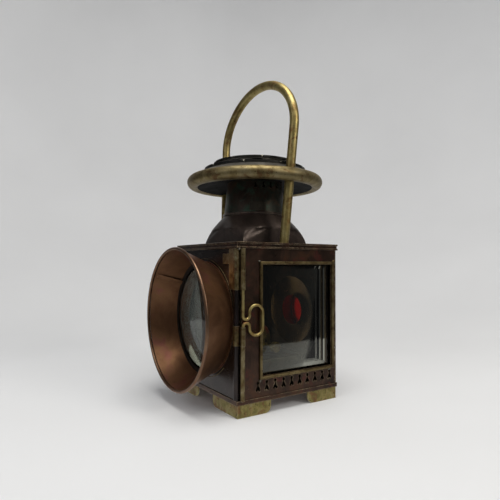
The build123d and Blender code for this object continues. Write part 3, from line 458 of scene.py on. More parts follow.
@dataclass(frozen=True)
class WovenWick:
    """Flat cotton wick: cream and oily below, charred at its top."""

    name: str
    char_from: float
    char_to: float
    cotton: Stops = ((0.3, "8b7f63"), (0.7, "b8ab8a"))
    char: str = "14110e"
    rib: float = 900.0
    rib_wander: float = 1.2
    rib_depth: float = 0.25 * MM

    def make(self) -> bpy.types.Material:
        """Build the material.

        Returns:
            The finished material.
        """
        g = Graph(self.name)
        ribs = g.node("ShaderNodeTexWave", wave_type="BANDS", bands_direction="X")
        ribs.inputs["Scale"].default_value = self.rib
        ribs.inputs["Distortion"].default_value = self.rib_wander
        g.join(g.place, ribs.inputs["Vector"])
        split = g.node("ShaderNodeSeparateXYZ")
        g.join(g.place, split.inputs[0])
        charred = g.spread(split.outputs["Z"], self.char_from, self.char_to)
        colour = g.blend(charred, g.ramp(g.cloud(300.0, 4.0), self.cotton), self.char)
        shader = g.principled({"Sheen Weight": 0.4, "Metallic": 0.0})
        g.join(colour, shader.inputs["Base Color"])
        g.join(g.spread(g.cloud(400.0), 0.3, 0.7, 0.75, 0.95), shader.inputs["Roughness"])
        g.join(g.bump(ribs.outputs["Fac"], self.rib_depth), shader.inputs["Normal"])
        return g.material


@dataclass(frozen=True)
class StudioPaper:
    """Seamless pale paper for the floor and the backdrop."""

    name: str
    tones: Stops
    shine: float = 0.15

    def make(self) -> bpy.types.Material:
        """Build the material.

        Returns:
            The finished material.
        """
        g = Graph(self.name)
        shader = g.principled({"Specular IOR Level": self.shine})
        g.join(g.ramp(g.cloud(1.6, 3.0), self.tones), shader.inputs["Base Color"])
        g.join(g.spread(g.cloud(200.0), 0.3, 0.7, 0.75, 0.9), shader.inputs["Roughness"])
        return g.material


@dataclass(frozen=True)
class GlowingPaper:
    """Evenly lit paper that only gloss sees, with a soft change of brightness."""

    name: str
    tones: Stops
    glow: float = 1.0

    def make(self) -> bpy.types.Material:
        """Build the material.

        Returns:
            The finished material.
        """
        g = Graph(self.name)
        light = g.node("ShaderNodeEmission")
        light.inputs["Strength"].default_value = self.glow
        g.join(g.ramp(g.cloud(2.4, 3.0), self.tones), light.inputs["Color"])
        g.join(light.outputs["Emission"], g.output.inputs["Surface"])
        g.material.cycles.emission_sampling = "NONE"
        return g.material


CASE_COPPER = AgedMetal(
    "case_copper_patina",
    tones=((0.3, "251d17"), (0.42, "3a2b22"), (0.52, "48352a"), (0.62, "553a2a"), (0.74, "433a2a")),
    patch="61322b", spot="1b1614", worn_and_highlight="b09c7e", patch_cover=0.3, spot_cover=0.2, wear_and_highlight=1.0,
    wear_and_highlight_width=1.2 * MM, roughness=(0.26, 0.44), metallic=0.8, coat=0.1, dents=0.7 * MM,
)
DOOR_COPPER = AgedMetal(
    "door_copper_patina",
    tones=((0.3, "221e1d"), (0.5, "332c2a"), (0.7, "403733")),
    patch="3c2e33", spot="151314", worn_and_highlight="8d7d64", patch_cover=0.3, spot_cover=0.12, wear_and_highlight=0.6,
    roughness=(0.16, 0.3), metallic=0.8, coat=0.25, dents=0.5 * MM, seed=2.0,
)
HOOD_COPPER = AgedMetal(
    "hood_copper_warm",
    tones=((0.3, "5f412b"), (0.42, "704f37"), (0.52, "7b593e"), (0.62, "7c4f43"), (0.74, "6d5a39")),
    patch="7f5346", spot="4a3324", worn_and_highlight="c09a7c", patch_cover=0.2, spot_cover=0.1, wear_and_highlight=0.5,
    roughness=(0.36, 0.5), metallic=0.85, cloud_scale=20.0, patch_scale=24.0, streak_depth=0.12,
    dents=0.6 * MM, grain=0.03 * MM, seed=4.0,
)
RIM_COPPER = AgedMetal(
    "hood_rim_rubbed_copper",
    tones=((0.3, "6f5442"), (0.5, "866853"), (0.7, "957961")),
    patch="8c5f4c", spot="4c3526", worn_and_highlight="ceb196", patch_cover=0.3, spot_cover=0.18, wear_and_highlight=0.4,
    roughness=(0.3, 0.46), metallic=1.0, seed=5.0,
)
AGED_BRASS = AgedMetal(
    "aged_brass_olive",
    tones=((0.3, "6b5a38"), (0.42, "8f7c4d"), (0.54, "a5965f"), (0.7, "b3a673")),
    patch="79573b", spot="2e2718", worn_and_highlight="bdb294", patch_cover=0.34, spot_cover=0.42, wear_and_highlight=0.5,
    roughness=(0.34, 0.52), metallic=0.95, cloud_scale=60.0, patch_scale=80.0, seed=6.0,
    streak=(300.0, 300.0, 30.0),
)
BOW_BRASS = replace(
    AGED_BRASS, name="bow_brass_handled", patch_cover=0.4, roughness=(0.36, 0.54),
    tones=((0.3, "7a6641"), (0.42, "9f8a57"), (0.54, "b6a56c"), (0.7, "c4b57f")), patch="86593a",
)
RING_BRASS = replace(
    AGED_BRASS, name="ring_brass_dull", patch_cover=0.4, roughness=(0.42, 0.58),
    tones=((0.3, "5f5137"), (0.42, "7d6e4b"), (0.54, "8f815c"), (0.7, "9c9070")), patch="65492f",
)
WINDOW_BRASS = AgedMetal(
    "window_bead_browned_brass",
    tones=((0.3, "4a3d29"), (0.45, "6e5d3e"), (0.6, "8a7a55"), (0.75, "9a8d68")),
    patch="4c3827", spot="221c13", worn_and_highlight="c4b68e", patch_cover=0.4, spot_cover=0.45, wear_and_highlight=0.7,
    roughness=(0.3, 0.5), metallic=0.95, cloud_scale=70.0, patch_scale=60.0, seed=6.5,
)
CORNER_BRASS = AgedMetal(
    "corner_brass_browned",
    tones=((0.3, "2f271a"), (0.44, "4a3e29"), (0.56, "63553a"), (0.72, "7b7050")),
    patch="3f2c22", spot="1b1710", worn_and_highlight="ad9c74", patch_cover=0.5, spot_cover=0.5, wear_and_highlight=0.6,
    roughness=(0.3, 0.5), metallic=0.95, cloud_scale=80.0, patch_scale=110.0, seed=7.0,
    streak=(300.0, 300.0, 24.0), streak_depth=0.4,
)
CORNER_GOLD = AgedMetal(
    "corner_brass_rubbed",
    tones=((0.3, "4c3f2a"), (0.44, "726342"), (0.56, "8f8160"), (0.72, "b0a684")),
    patch="5b3a2a", spot="221c13", worn_and_highlight="d3cab0", patch_cover=0.45, spot_cover=0.45, wear_and_highlight=0.8,
    roughness=(0.3, 0.5), metallic=0.9, cloud_scale=90.0, patch_scale=90.0, seed=7.5,
    streak=(300.0, 300.0, 24.0), streak_depth=0.4,
)
FOOT_BRASS = AgedMetal(
    "foot_brass_verdigris",
    tones=((0.3, "5c5533"), (0.43, "807643"), (0.55, "988b56"), (0.7, "928c69")),
    patch="7d5238", spot="38341c", worn_and_highlight="c9c195", patch_cover=0.52, spot_cover=0.55, wear_and_highlight=0.9,
    roughness=(0.4, 0.6), metallic=0.7, cloud_scale=110.0, patch_scale=95.0, seed=8.0,
)
NECK_COPPER = AgedMetal(
    "neck_copper_verdigris",
    tones=((0.3, "221d18"), (0.42, "382c24"), (0.5, "2e332b"), (0.6, "4a3629"), (0.7, "24382f")),
    patch="34473a", spot="131210", worn_and_highlight="75664c", patch_cover=0.5, spot_cover=0.3, wear_and_highlight=0.5,
    roughness=(0.38, 0.58), metallic=0.7, dents=1.1 * MM, seed=9.0,
)
DOME_BRONZE = AgedMetal(
    "dome_dark_bronze",
    tones=((0.3, "332b27"), (0.5, "463b35"), (0.72, "54473f")),
    patch="4a3633", spot="161412", worn_and_highlight="8b8173", patch_cover=0.3, spot_cover=0.06, wear_and_highlight=0.55,
    wear_and_highlight_width=1.6 * MM, roughness=(0.34, 0.48), metallic=0.65, coat=0.05, dents=0.4 * MM, seed=10.0,
)
# Near black all over the crown discs.
CROWN_BLACK = AgedMetal(
    "crown_sooty_black",
    tones=((0.3, "0f0f0e"), (0.5, "191816"), (0.7, "242220")),
    patch="1e201e", spot="0a0a09", worn_and_highlight="6a6555", patch_cover=0.3, spot_cover=0.2, wear_and_highlight=0.6,
    roughness=(0.45, 0.65), metallic=0.5, seed=11.0,
)
CAP_GREY = AgedMetal(
    "cap_grey_bloom",
    tones=((0.3, "4a4742"), (0.5, "625e57"), (0.7, "77736a")),
    patch="524d48", spot="282624", worn_and_highlight="a19c8f", patch_cover=0.3, spot_cover=0.25, wear_and_highlight=0.4,
    roughness=(0.36, 0.52), metallic=0.6, seed=12.0,
)
SOLDER = AgedMetal(
    "dull_solder",
    tones=((0.3, "5d5a52"), (0.5, "7c786c"), (0.7, "9a9588")),
    patch="6b5a45", spot="33302b", worn_and_highlight="c2bdb0", patch_cover=0.3, spot_cover=0.3, wear_and_highlight=0.4,
    roughness=(0.34, 0.55), metallic=0.9, cloud_scale=200.0, seed=13.0,
)
# Near-black, dull sheet for the brim plate: painted shade for the shadow under the brim.
BRIM_PAINTED_SHADE = AgedMetal(
    "brim_lamp_black",
    tones=((0.3, "0b0b0a"), (0.5, "121110"), (0.7, "191816")),
    patch="151513", spot="070706", worn_and_highlight="3c382f", patch_cover=0.3, spot_cover=0.2, wear_and_highlight=0.3,
    roughness=(0.75, 0.9), metallic=1.0, seed=11.5,
)
PATCH_COPPER = AgedMetal(
    "neck_patch_dull",
    tones=((0.3, "2c2823"), (0.5, "3f3a32"), (0.7, "504a40")),
    patch="38332b", spot="1b1916", worn_and_highlight="83795f", patch_cover=0.3, spot_cover=0.3, wear_and_highlight=0.4,
    roughness=(0.38, 0.56), metallic=0.8, seed=13.5,
)
REFLECTOR_COPPER = AgedMetal(
    "reflector_dusty_copper",
    tones=((0.3, "5c4330"), (0.5, "775a40"), (0.72, "867050")),
    patch="4f3a2a", spot="2c2119", worn_and_highlight="b58f6c", patch_cover=0.1, spot_cover=0.15, wear_and_highlight=0.5,
    roughness=(0.16, 0.28), metallic=1.0, cloud_scale=14.0, dents=0.1 * MM, seed=14.0,
)
# Near black, for the glass channels and the lens ring.
INSIDE_BLACK = AgedMetal(
    "sooty_inside",
    tones=((0.3, "14120f"), (0.5, "201c18"), (0.7, "2d2620")),
    patch="28221c", spot="0d0c0a", worn_and_highlight="544c3e", patch_cover=0.3, spot_cover=0.2, wear_and_highlight=0.3,
    roughness=(0.4, 0.6), metallic=0.6, seed=15.0,
)
TINPLATE = AgedMetal(
    "font_tinplate",
    tones=((0.3, "57534b"), (0.5, "716c61"), (0.7, "857f72")),
    patch="6a4f36", spot="2d2822", worn_and_highlight="aaa493", patch_cover=0.34, spot_cover=0.35, wear_and_highlight=0.4,
    roughness=(0.3, 0.5), metallic=0.95, seed=16.0,
)
WINDOW_GLASS = SheetGlass("window_glass_old", tint="e8e8e0")
LENS_GLASS = ThickGlass("lens_cast_glass", tones=((0.35, "b9c0b6"), (0.65, "c9cec4")))
RED_GLASS = ThickGlass(
    "red_cast_glass", tones=((0.35, "b80a0c"), (0.65, "d01012")), roughness=(0.28, 0.4), clear=0.75,
)
WICK_COTTON = WovenWick("wick_cotton_charred", char_from=0.074, char_to=0.0805)
PAPER = StudioPaper("studio_paper", tones=((0.3, "dfe0e2"), (0.7, "e6e7e9")))
MIRRORED_PAPER = GlowingPaper("mirrored_paper", tones=((0.3, "b4b4b3"), (0.7, "c6c6c5")))

Finish = AgedMetal | SheetGlass | ThickGlass | WovenWick | StudioPaper | GlowingPaper

CAD_FINISHES: dict[str, Finish] = {
    "base_pan": CASE_COPPER,
    "foot_front_right": FOOT_BRASS,
    "foot_front_left": FOOT_BRASS,
    "foot_rear_right": FOOT_BRASS,
    "foot_rear_left": FOOT_BRASS,
    "side_panel_right": CASE_COPPER,
    "side_panel_left": CASE_COPPER,
    "back_panel": CASE_COPPER,
    "front_frame": CASE_COPPER,
    "corner_post": CORNER_GOLD,
    "roof_plate": CASE_COPPER,
    "window_frame_right": WINDOW_BRASS,
    "window_frame_left": WINDOW_BRASS,
    "window_glass_right": WINDOW_GLASS,
    "window_glass_left": WINDOW_GLASS,
    "glass_channel_right": INSIDE_BLACK,
    "glass_channel_left": INSIDE_BLACK,
    "neck_collar": DOME_BRONZE,
    "neck": NECK_COPPER,
    "neck_patch": PATCH_COPPER,
    "brim_plate": BRIM_PAINTED_SHADE,
    "brim_ring": RING_BRASS,
    "cap_cone": CAP_GREY,
    "crown_lower_disc": CROWN_BLACK,
    "crown_baffle": CAP_GREY,
    "crown_top_disc": CROWN_BLACK,
    "handle": BOW_BRASS,
    "handle_nuts": CORNER_BRASS,
    "front_door": DOOR_COPPER,
    "door_edge_roll": DOOR_COPPER,
    "door_strap_upper": CORNER_GOLD,
    "door_strap_lower": CORNER_GOLD,
    "hood": HOOD_COPPER,
    "hood_rim": RIM_COPPER,
    "lens": LENS_GLASS,
    "lens_ring": INSIDE_BLACK,
    "hinge_body_knuckles": CORNER_BRASS,
    "hinge_door_knuckles": CORNER_BRASS,
    "hinge_pins": CORNER_BRASS,
    "latch_tube_upper": CORNER_GOLD,
    "latch_tube_lower": CORNER_GOLD,
    "corner_roll": CORNER_GOLD,
    "latch_wire": BOW_BRASS,
    "rear_tube": REFLECTOR_COPPER,
    "red_lens": RED_GLASS,
    "rear_bezel": AGED_BRASS,
    "reflector": REFLECTOR_COPPER,
    "font_rails": TINPLATE,
    "oil_font": TINPLATE,
    "filler_neck": AGED_BRASS,
    "filler_cap": AGED_BRASS,
    "burner_collar": AGED_BRASS,
    "burner_body": AGED_BRASS,
    "wick_tube": AGED_BRASS,
    "wick": WICK_COTTON,
    "flame_cone": AGED_BRASS,
    "winder_spindle": AGED_BRASS,
    "winder_knob": BOW_BRASS,
}


class FinishShelf:
    """Makes each finish once and hands it out."""

    def __init__(self) -> None:
        """Start with no finishes made."""
        self.made: dict[str, bpy.types.Material] = {}

    def take(self, finish: Finish) -> bpy.types.Material:
        """Hand out a finish's material.

        Args:
            finish: the finish that is wanted.

        Returns:
            Its material.
        """
        if finish.name not in self.made:
            self.made[finish.name] = finish.make()
        return self.made[finish.name]

    def coat(self, piece: bpy.types.Object, finish: Finish) -> None:
        """Give a piece one finish all over.

        Args:
            piece: the piece to coat.
            finish: the finish.
        """
        material = self.take(finish)
        if not piece.data.materials:
            piece.data.materials.append(material)
        for number in range(len(piece.material_slots)):
            piece.material_slots[number].material = material


SHELF = FinishShelf()


def clear_selection() -> None:
    """Leave nothing selected."""
    bpy.ops.object.select_all(action="DESELECT")


def pick(piece: bpy.types.Object) -> None:
    """Select one piece alone and make it active."""
    clear_selection()
    piece.select_set(True)
    bpy.context.view_layer.objects.active = piece


@contextmanager
def shaping(piece: bpy.types.Object) -> Iterator[None]:
    """Work on a piece in edit mode.

    Args:
        piece: the piece to edit.

    Yields:
        Nothing, while edit mode is on.
    """
    pick(piece)
    bpy.ops.object.mode_set(mode="EDIT")
    yield
    bpy.ops.object.mode_set(mode="OBJECT")


def choose(piece: bpy.types.Object, kind: Element, fits: Callable[..., bool]) -> None:
    """Select the edges or faces that pass a test, and nothing else.

    Args:
        piece: the piece.
        kind: edges or faces.
        fits: the test of one edge or face.
    """
    with shaping(piece):
        bpy.ops.mesh.select_mode(type=kind.name)
        bpy.ops.mesh.select_all(action="DESELECT")
    for element in getattr(piece.data, kind.value):
        element.select = fits(element)


def joined(parts: list[bpy.types.Object], name: str) -> bpy.types.Object:
    """Join pieces into one.

    Args:
        parts: the pieces.
        name: name of the result.

    Returns:
        The joined piece.
    """
    pick(parts[0])
    for part in parts[1:]:
        part.select_set(True)
    if len(parts) > 1:
        bpy.ops.object.join()
    whole = bpy.context.view_layer.objects.active
    whole.name = name
    whole.data.name = name
    return whole


def finished(
    piece: bpy.types.Object, body: str, finish: Finish, smooth_below: float = 40.0
) -> bpy.types.Object:
    """Clean a piece, apply its place, smooth and coat it, and fix it to a body.

    Args:
        piece: the piece.
        body: the body that it moves with.
        finish: its finish.
        smooth_below: edges flatter than this many degrees are smoothed.

    Returns:
        The piece.
    """
    pick(piece)
    bpy.ops.object.transform_apply(location=True, rotation=True, scale=True)
    with shaping(piece):
        bpy.ops.mesh.select_all(action="SELECT")
        bpy.ops.mesh.remove_doubles(threshold=WELD_DISTANCE)
        bpy.ops.mesh.normals_make_consistent(inside=False)
    bpy.ops.object.shade_smooth_by_angle(angle=math.radians(smooth_below))
    SHELF.coat(piece, finish)
    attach(piece, body)
    log.info("%s rides on %s, finish %s", piece.name, body, finish.name)
    return piece


@dataclass
class SolderWork:
    """Small uneven drops of solder at the joints of the case and windows."""

    name: str = "solder_joints"
    drop: float = 1.5 * MM
    sunk: float = 1.9 * MM
    unevenness: float = 0.12
    turn_step: float = 0.9
    places: list[tuple[Vector, Vector]] = field(default_factory=list)

    def plan(self) -> None:
        """List each drop's place and its size along the three axes."""
        for side, pane in ((1, "window_frame_right"), (-1, "window_frame_left")):
            low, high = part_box(pane)
            face = (high.x if side > 0 else low.x) - side * self.sunk
            # y and z of a drop on the window's bead, then its width and height as shares of a plain drop.
            for y, z, wide, tall in (
                (low.y - 0.4 * MM, high.z, 0.8, 0.7),
                (high.y, high.z - 1.2 * MM, 0.9, 1.8),
                (high.y + 0.3 * MM, low.z + 22 * MM, 0.6, 2.4),
                (high.y + 0.2 * MM, low.z + 8 * MM, 0.8, 3.0),
                (high.y - 6 * MM, low.z - 0.2 * MM, 2.0, 0.7),
                (low.y + 1.0 * MM, low.z - 0.3 * MM, 1.6, 0.8),
            ):
                self.places.append((Vector((face, y, z)), Vector((0.7, wide, tall)) * self.drop))
        low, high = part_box("door_edge_roll")
        # Two drops at the ends of the door's edge roll.
        for x, y, z, size in (
            (high.x + 1.2 * MM, low.y + 3.4 * MM, high.z - 0.4 * MM, 1.0),
            (high.x + 2.2 * MM, low.y + 5.6 * MM, low.z + 0.4 * MM, 0.8),
        ):
            self.places.append((Vector((x, y, z)), Vector((size, size, size * 0.8)) * self.drop))

    def make(self) -> bpy.types.Object:
        """Model one drop, copy it to each place and join the drops.

        Returns:
            The joined drops.
        """
        self.plan()
        clear_selection()
        bpy.ops.mesh.primitive_ico_sphere_add(subdivisions=3, radius=1.0)
        model = bpy.context.active_object
        with shaping(model):
            bpy.ops.mesh.select_all(action="SELECT")
            bpy.ops.transform.vertex_random(offset=self.unevenness, seed=7)
            bpy.ops.mesh.vertices_smooth(factor=0.6, repeat=2)
        drops = []
        for number, (place, size) in enumerate(self.places):
            drop = model.copy()
            drop.data = model.data.copy()
            bpy.context.scene.collection.objects.link(drop)
            drop.location = place
            drop.scale = size
            drop.rotation_euler = (number * self.turn_step, 0.0, 0.0)
            drops.append(drop)
        bpy.data.objects.remove(model)
        for drop in drops:
            drop.select_set(False)
        whole = joined(drops, self.name)
        return finished(whole, "case", SOLDER, smooth_below=80.0)


@dataclass
class HoodTrim:
    """The wire soldered round the hood's foot and the lap where the hood's sheet closes."""

    wire_radius: float = 0.4 * MM
    wire_off_door: float = 0.25 * MM
    wire_steps: int = 96
    ring_radius: float = 63.9 * MM
    gap_half: float = 16.0
    lap_angle: float = 142.0
    lap_width: float = 5.0 * MM
    lap_thickness: float = 0.45 * MM
    lap_foot_radius: float = 58.2 * MM
    lap_mouth_radius: float = 71.8 * MM
    lap_foot_inset: float = 6.0 * MM
    lap_mouth_inset: float = 2.0 * MM
    lap_bevel: float = 0.15 * MM

    def foot_wire(self) -> bpy.types.Object:
        """Spin a small circle round the lens's axis, leaving a gap at the door's edge roll.

        Returns:
            The wire.
        """
        door_low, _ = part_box("front_door")
        ring_low, ring_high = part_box("hood_rim")
        centre = (ring_low + ring_high) / 2
        start = math.radians(self.gap_half)
        place = centre + Vector((math.cos(start), 0.0, -math.sin(start))) * self.ring_radius
        place.y = door_low.y - self.wire_off_door
        clear_selection()
        bpy.ops.mesh.primitive_circle_add(
            vertices=12, radius=self.wire_radius, location=place, rotation=(0.0, start, 0.0), fill_type="NGON"
        )
        wire = bpy.context.active_object
        with shaping(wire):
            bpy.ops.mesh.select_all(action="SELECT")
            bpy.ops.mesh.spin(
                steps=self.wire_steps, angle=2 * math.pi - 2 * start, use_auto_merge=False,
                center=(centre.x, place.y, centre.z), axis=(0.0, 1.0, 0.0),
            )
        return finished(joined([wire], "hood_foot_wire"), "door", CORNER_BRASS)

    def lap(self) -> bpy.types.Object:
        """Lay a thin strip along the inside of the cone where its ends overlap.

        Returns:
            The strip.
        """
        low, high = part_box("hood")
        middle = (low + high) / 2
        near, far = low.y + self.lap_mouth_inset, high.y - self.lap_foot_inset
        lean = math.atan2(self.lap_mouth_radius - self.lap_foot_radius, far - near)
        angle = math.radians(self.lap_angle)
        out = Vector((math.cos(angle), 0.0, math.sin(angle)))
        reach = (self.lap_foot_radius + self.lap_mouth_radius) / 2
        place = Vector((middle.x, (near + far) / 2, middle.z)) + out * reach
        clear_selection()
        bpy.ops.mesh.primitive_cube_add(size=1.0, location=(0.0, 0.0, 0.0))
        strip = bpy.context.active_object
        strip.scale = (self.lap_thickness, (far - near) / math.cos(lean), self.lap_width)
        bpy.ops.object.transform_apply(location=False, rotation=False, scale=True)
        with shaping(strip):
            bpy.ops.mesh.select_all(action="SELECT")
            bpy.ops.mesh.bevel(offset=self.lap_bevel, segments=2, affect="EDGES")
        tilt = Matrix.Rotation(lean, 4, "Z")
        swing = Matrix.Rotation(-angle, 4, "Y")
        strip.matrix_world = Matrix.Translation(place) @ swing @ tilt
        return finished(joined([strip], "hood_lap"), "door", HOOD_COPPER)

    def make(self) -> None:
        """Build both pieces."""
        self.foot_wire()
        self.lap()


@dataclass
class ChimneyDome:
    """The square-to-round dome, pressed with an arch on each side and a V-shaped gusset at each corner."""

    half: float = 43.0 * MM
    corner: float = 60.8 * MM
    top: float = 36.2 * MM
    arch_rise: float = 17.3 * MM
    arch_power: float = 0.55
    corner_power: float = 1.55
    side_power: float = 1.4
    sheet: float = 1.1 * MM
    around: int = 144
    rows: int = 30

    def radius(self, angle: float, low: float, high: float, z: float) -> float:
        """Find the dome's radius in one direction.

        Args:
            angle: direction from the middle of a side, up to 45 degrees, in radians.
            low: height of the dome's foot.
            high: height of its top.
            z: the height that is asked for.

        Returns:
            The distance from the chimney's axis.
        """
        share = (z - low) / (high - low)
        at_corner = self.top + (self.corner - self.top) * (1.0 - share**self.corner_power)
        crown = low + self.arch_rise
        quarter = math.pi / 4
        if z < crown:
            reach = self.half * (1.0 - (z - low) / self.arch_rise) ** self.arch_power
            arch = math.atan2(reach, self.half)
            if angle <= arch:
                return self.half / math.cos(angle)
            start = self.half / math.cos(arch)
        else:
            arch = 0.0
            rise = (z - crown) / (high - crown)
            start = self.top + (self.half - self.top) * (1.0 - rise**self.side_power)
        step = (angle - arch) / max(quarter - arch, LEAST_ANGLE)
        return start + (at_corner - start) * step * step * (3.0 - 2.0 * step)

    def make(self) -> bpy.types.Object:
        """Model the dome from an open tube whose rings are pushed out to the pressed shape.

        Returns:
            The dome.
        """
        low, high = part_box("dome")
        clear_selection()
        bpy.ops.mesh.primitive_cylinder_add(
            vertices=self.around, radius=self.half, depth=high.z - low.z, end_fill_type="NOTHING",
            location=(0.0, 0.0, (low.z + high.z) / 2),
        )
        shell = bpy.context.active_object
        bpy.ops.object.transform_apply(location=True)
        points = shell.data.vertices
        choose(
            shell, Element.EDGE,
            lambda edge: abs(points[edge.vertices[0]].co.z - points[edge.vertices[1]].co.z) > MM,
        )
        with shaping(shell):
            bpy.ops.mesh.subdivide(number_cuts=self.rows)
        for vertex in shell.data.vertices:
            direction = math.atan2(vertex.co.y, vertex.co.x)
            off_side = abs((direction + math.pi / 4) % (math.pi / 2) - math.pi / 4)
            reach = self.radius(off_side, low.z, high.z, vertex.co.z)
            vertex.co.x = reach * math.cos(direction)
            vertex.co.y = reach * math.sin(direction)
        with shaping(shell):
            bpy.ops.mesh.select_all(action="SELECT")
            bpy.ops.mesh.normals_make_consistent(inside=False)
        pick(shell)
        wall = shell.modifiers.new("wall", "SOLIDIFY")
        wall.thickness = self.sheet
        wall.offset = -1.0
        bpy.ops.object.modifier_apply(modifier=wall.name)
        dome = finished(
            joined([shell], "chimney_dome"), "case", DOME_BRONZE, smooth_below=24.0
        )
        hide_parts("dome")
        return dome


@dataclass
class CrownTabs:
    """Small tabs bent over at the notches round both discs of the crown."""

    count: int = 9
    width: float = 2.2 * MM
    height: float = 1.9 * MM
    thickness: float = 0.45 * MM
    foot_share: float = 0.35
    bevel: float = 0.08 * MM
    lean: float = 28.0
    inset: float = 0.6 * MM
    lower_angle: float = -5.5
    lower_drop: float = 1.0 * MM
    upper_angle: float = -24.0
    upper_drop: float = 5.6 * MM

    def tab(self) -> bpy.types.Object:
        """Model one tab standing at the origin, its lower end narrowed.

        Returns:
            The tab.
        """
        clear_selection()
        bpy.ops.mesh.primitive_cube_add(size=1.0)
        tab = bpy.context.active_object
        tab.scale = (self.thickness, self.width, self.height)
        bpy.ops.object.transform_apply(scale=True)
        choose(tab, Element.FACE, lambda face: face.normal.z < -0.5)
        with shaping(tab):
            bpy.ops.transform.resize(value=(1.0, self.foot_share, 1.0))
            bpy.ops.mesh.select_all(action="SELECT")
            bpy.ops.mesh.subdivide(number_cuts=1)
            bpy.ops.mesh.bevel(offset=self.bevel, segments=1, affect="EDGES")
        return tab

    def make(self) -> bpy.types.Object:
        """Copy the tab round each disc and join the copies.

        Returns:
            The joined tabs.
        """
        model = self.tab()
        copies = []
        for node, first, drop in (
            ("crown_lower_disc", self.lower_angle, self.lower_drop),
            ("crown_top_disc", self.upper_angle, self.upper_drop),
        ):
            low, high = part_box(node)
            reach = (high.x - low.x) / 2 - self.inset
            height = high.z - drop
            for number in range(self.count):
                angle = math.radians(first + number * 360 / self.count)
                tab = model.copy()
                tab.data = model.data.copy()
                bpy.context.scene.collection.objects.link(tab)
                spot = Matrix.Translation((reach * math.cos(angle), reach * math.sin(angle), height))
                turn = Matrix.Rotation(angle, 4, "Z") @ Matrix.Rotation(math.radians(-self.lean), 4, "Y")
                tab.matrix_world = spot @ turn
                copies.append(tab)
        bpy.data.objects.remove(model)
        return finished(joined(copies, "crown_tabs"), "case", SOLDER)


@dataclass
class WindowTabs:
    """The folded end of each window bead, left standing at the top rear corner."""

    width: float = 2.6 * MM
    height: float = 6.5 * MM
    thickness: float = 0.9 * MM
    sunk: float = 0.7 * MM
    off_rear: float = 1.2 * MM
    off_top: float = 1.6 * MM
    unevenness: float = 0.0002
    bevel: float = 0.1 * MM

    def make(self) -> None:
        """Build the right tab and the left tab."""
        for side, pane in ((1, "window_frame_right"), (-1, "window_frame_left")):
            low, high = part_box(pane)
            face = high.x if side > 0 else low.x
            clear_selection()
            place = (face - side * self.sunk, high.y - self.off_rear, high.z - self.off_top)
            bpy.ops.mesh.primitive_cube_add(size=1.0, location=place)
            tab = bpy.context.active_object
            tab.scale = (self.thickness, self.width, self.height)
            bpy.ops.object.transform_apply(location=False, rotation=False, scale=True)
            with shaping(tab):
                bpy.ops.mesh.select_all(action="SELECT")
                bpy.ops.mesh.subdivide(number_cuts=3)
                bpy.ops.transform.vertex_random(offset=self.unevenness, seed=3)
                bpy.ops.mesh.bevel(offset=self.bevel, segments=1, affect="EDGES")
            name = "window_tab_right" if side > 0 else "window_tab_left"
            finished(joined([tab], name), "case", AGED_BRASS, smooth_below=60.0)


class CadFinisher:
    """Dresses the CAD nodes that stay as they are."""

    def dress(self) -> None:
        """Coat every node with its finish."""
        for node, finish in CAD_FINISHES.items():
            SHELF.coat(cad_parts[node], finish)
            log.info("%s keeps its shape, finish %s", node, finish.name)


@dataclass(frozen=True)
class SoftLamp:
    """A soft square lamp: where it hangs, its side in metres, its power in watts and its colour."""

    name: str
    place: tuple[float, float, float]
    size: float
    power: float
    colour: str


LAMPS = (
    SoftLamp("ceiling_light", place=(0.3, -0.1, 1.5), size=0.9, power=15.0, colour="fffdf8"),
    SoftLamp("right_light", place=(1.0, 0.35, 0.75), size=0.35, power=3.2, colour="fff9f0"),
    SoftLamp("front_light", place=(0.15, -1.05, 0.75), size=0.4, power=1.2, colour="f4f7ff"),
)


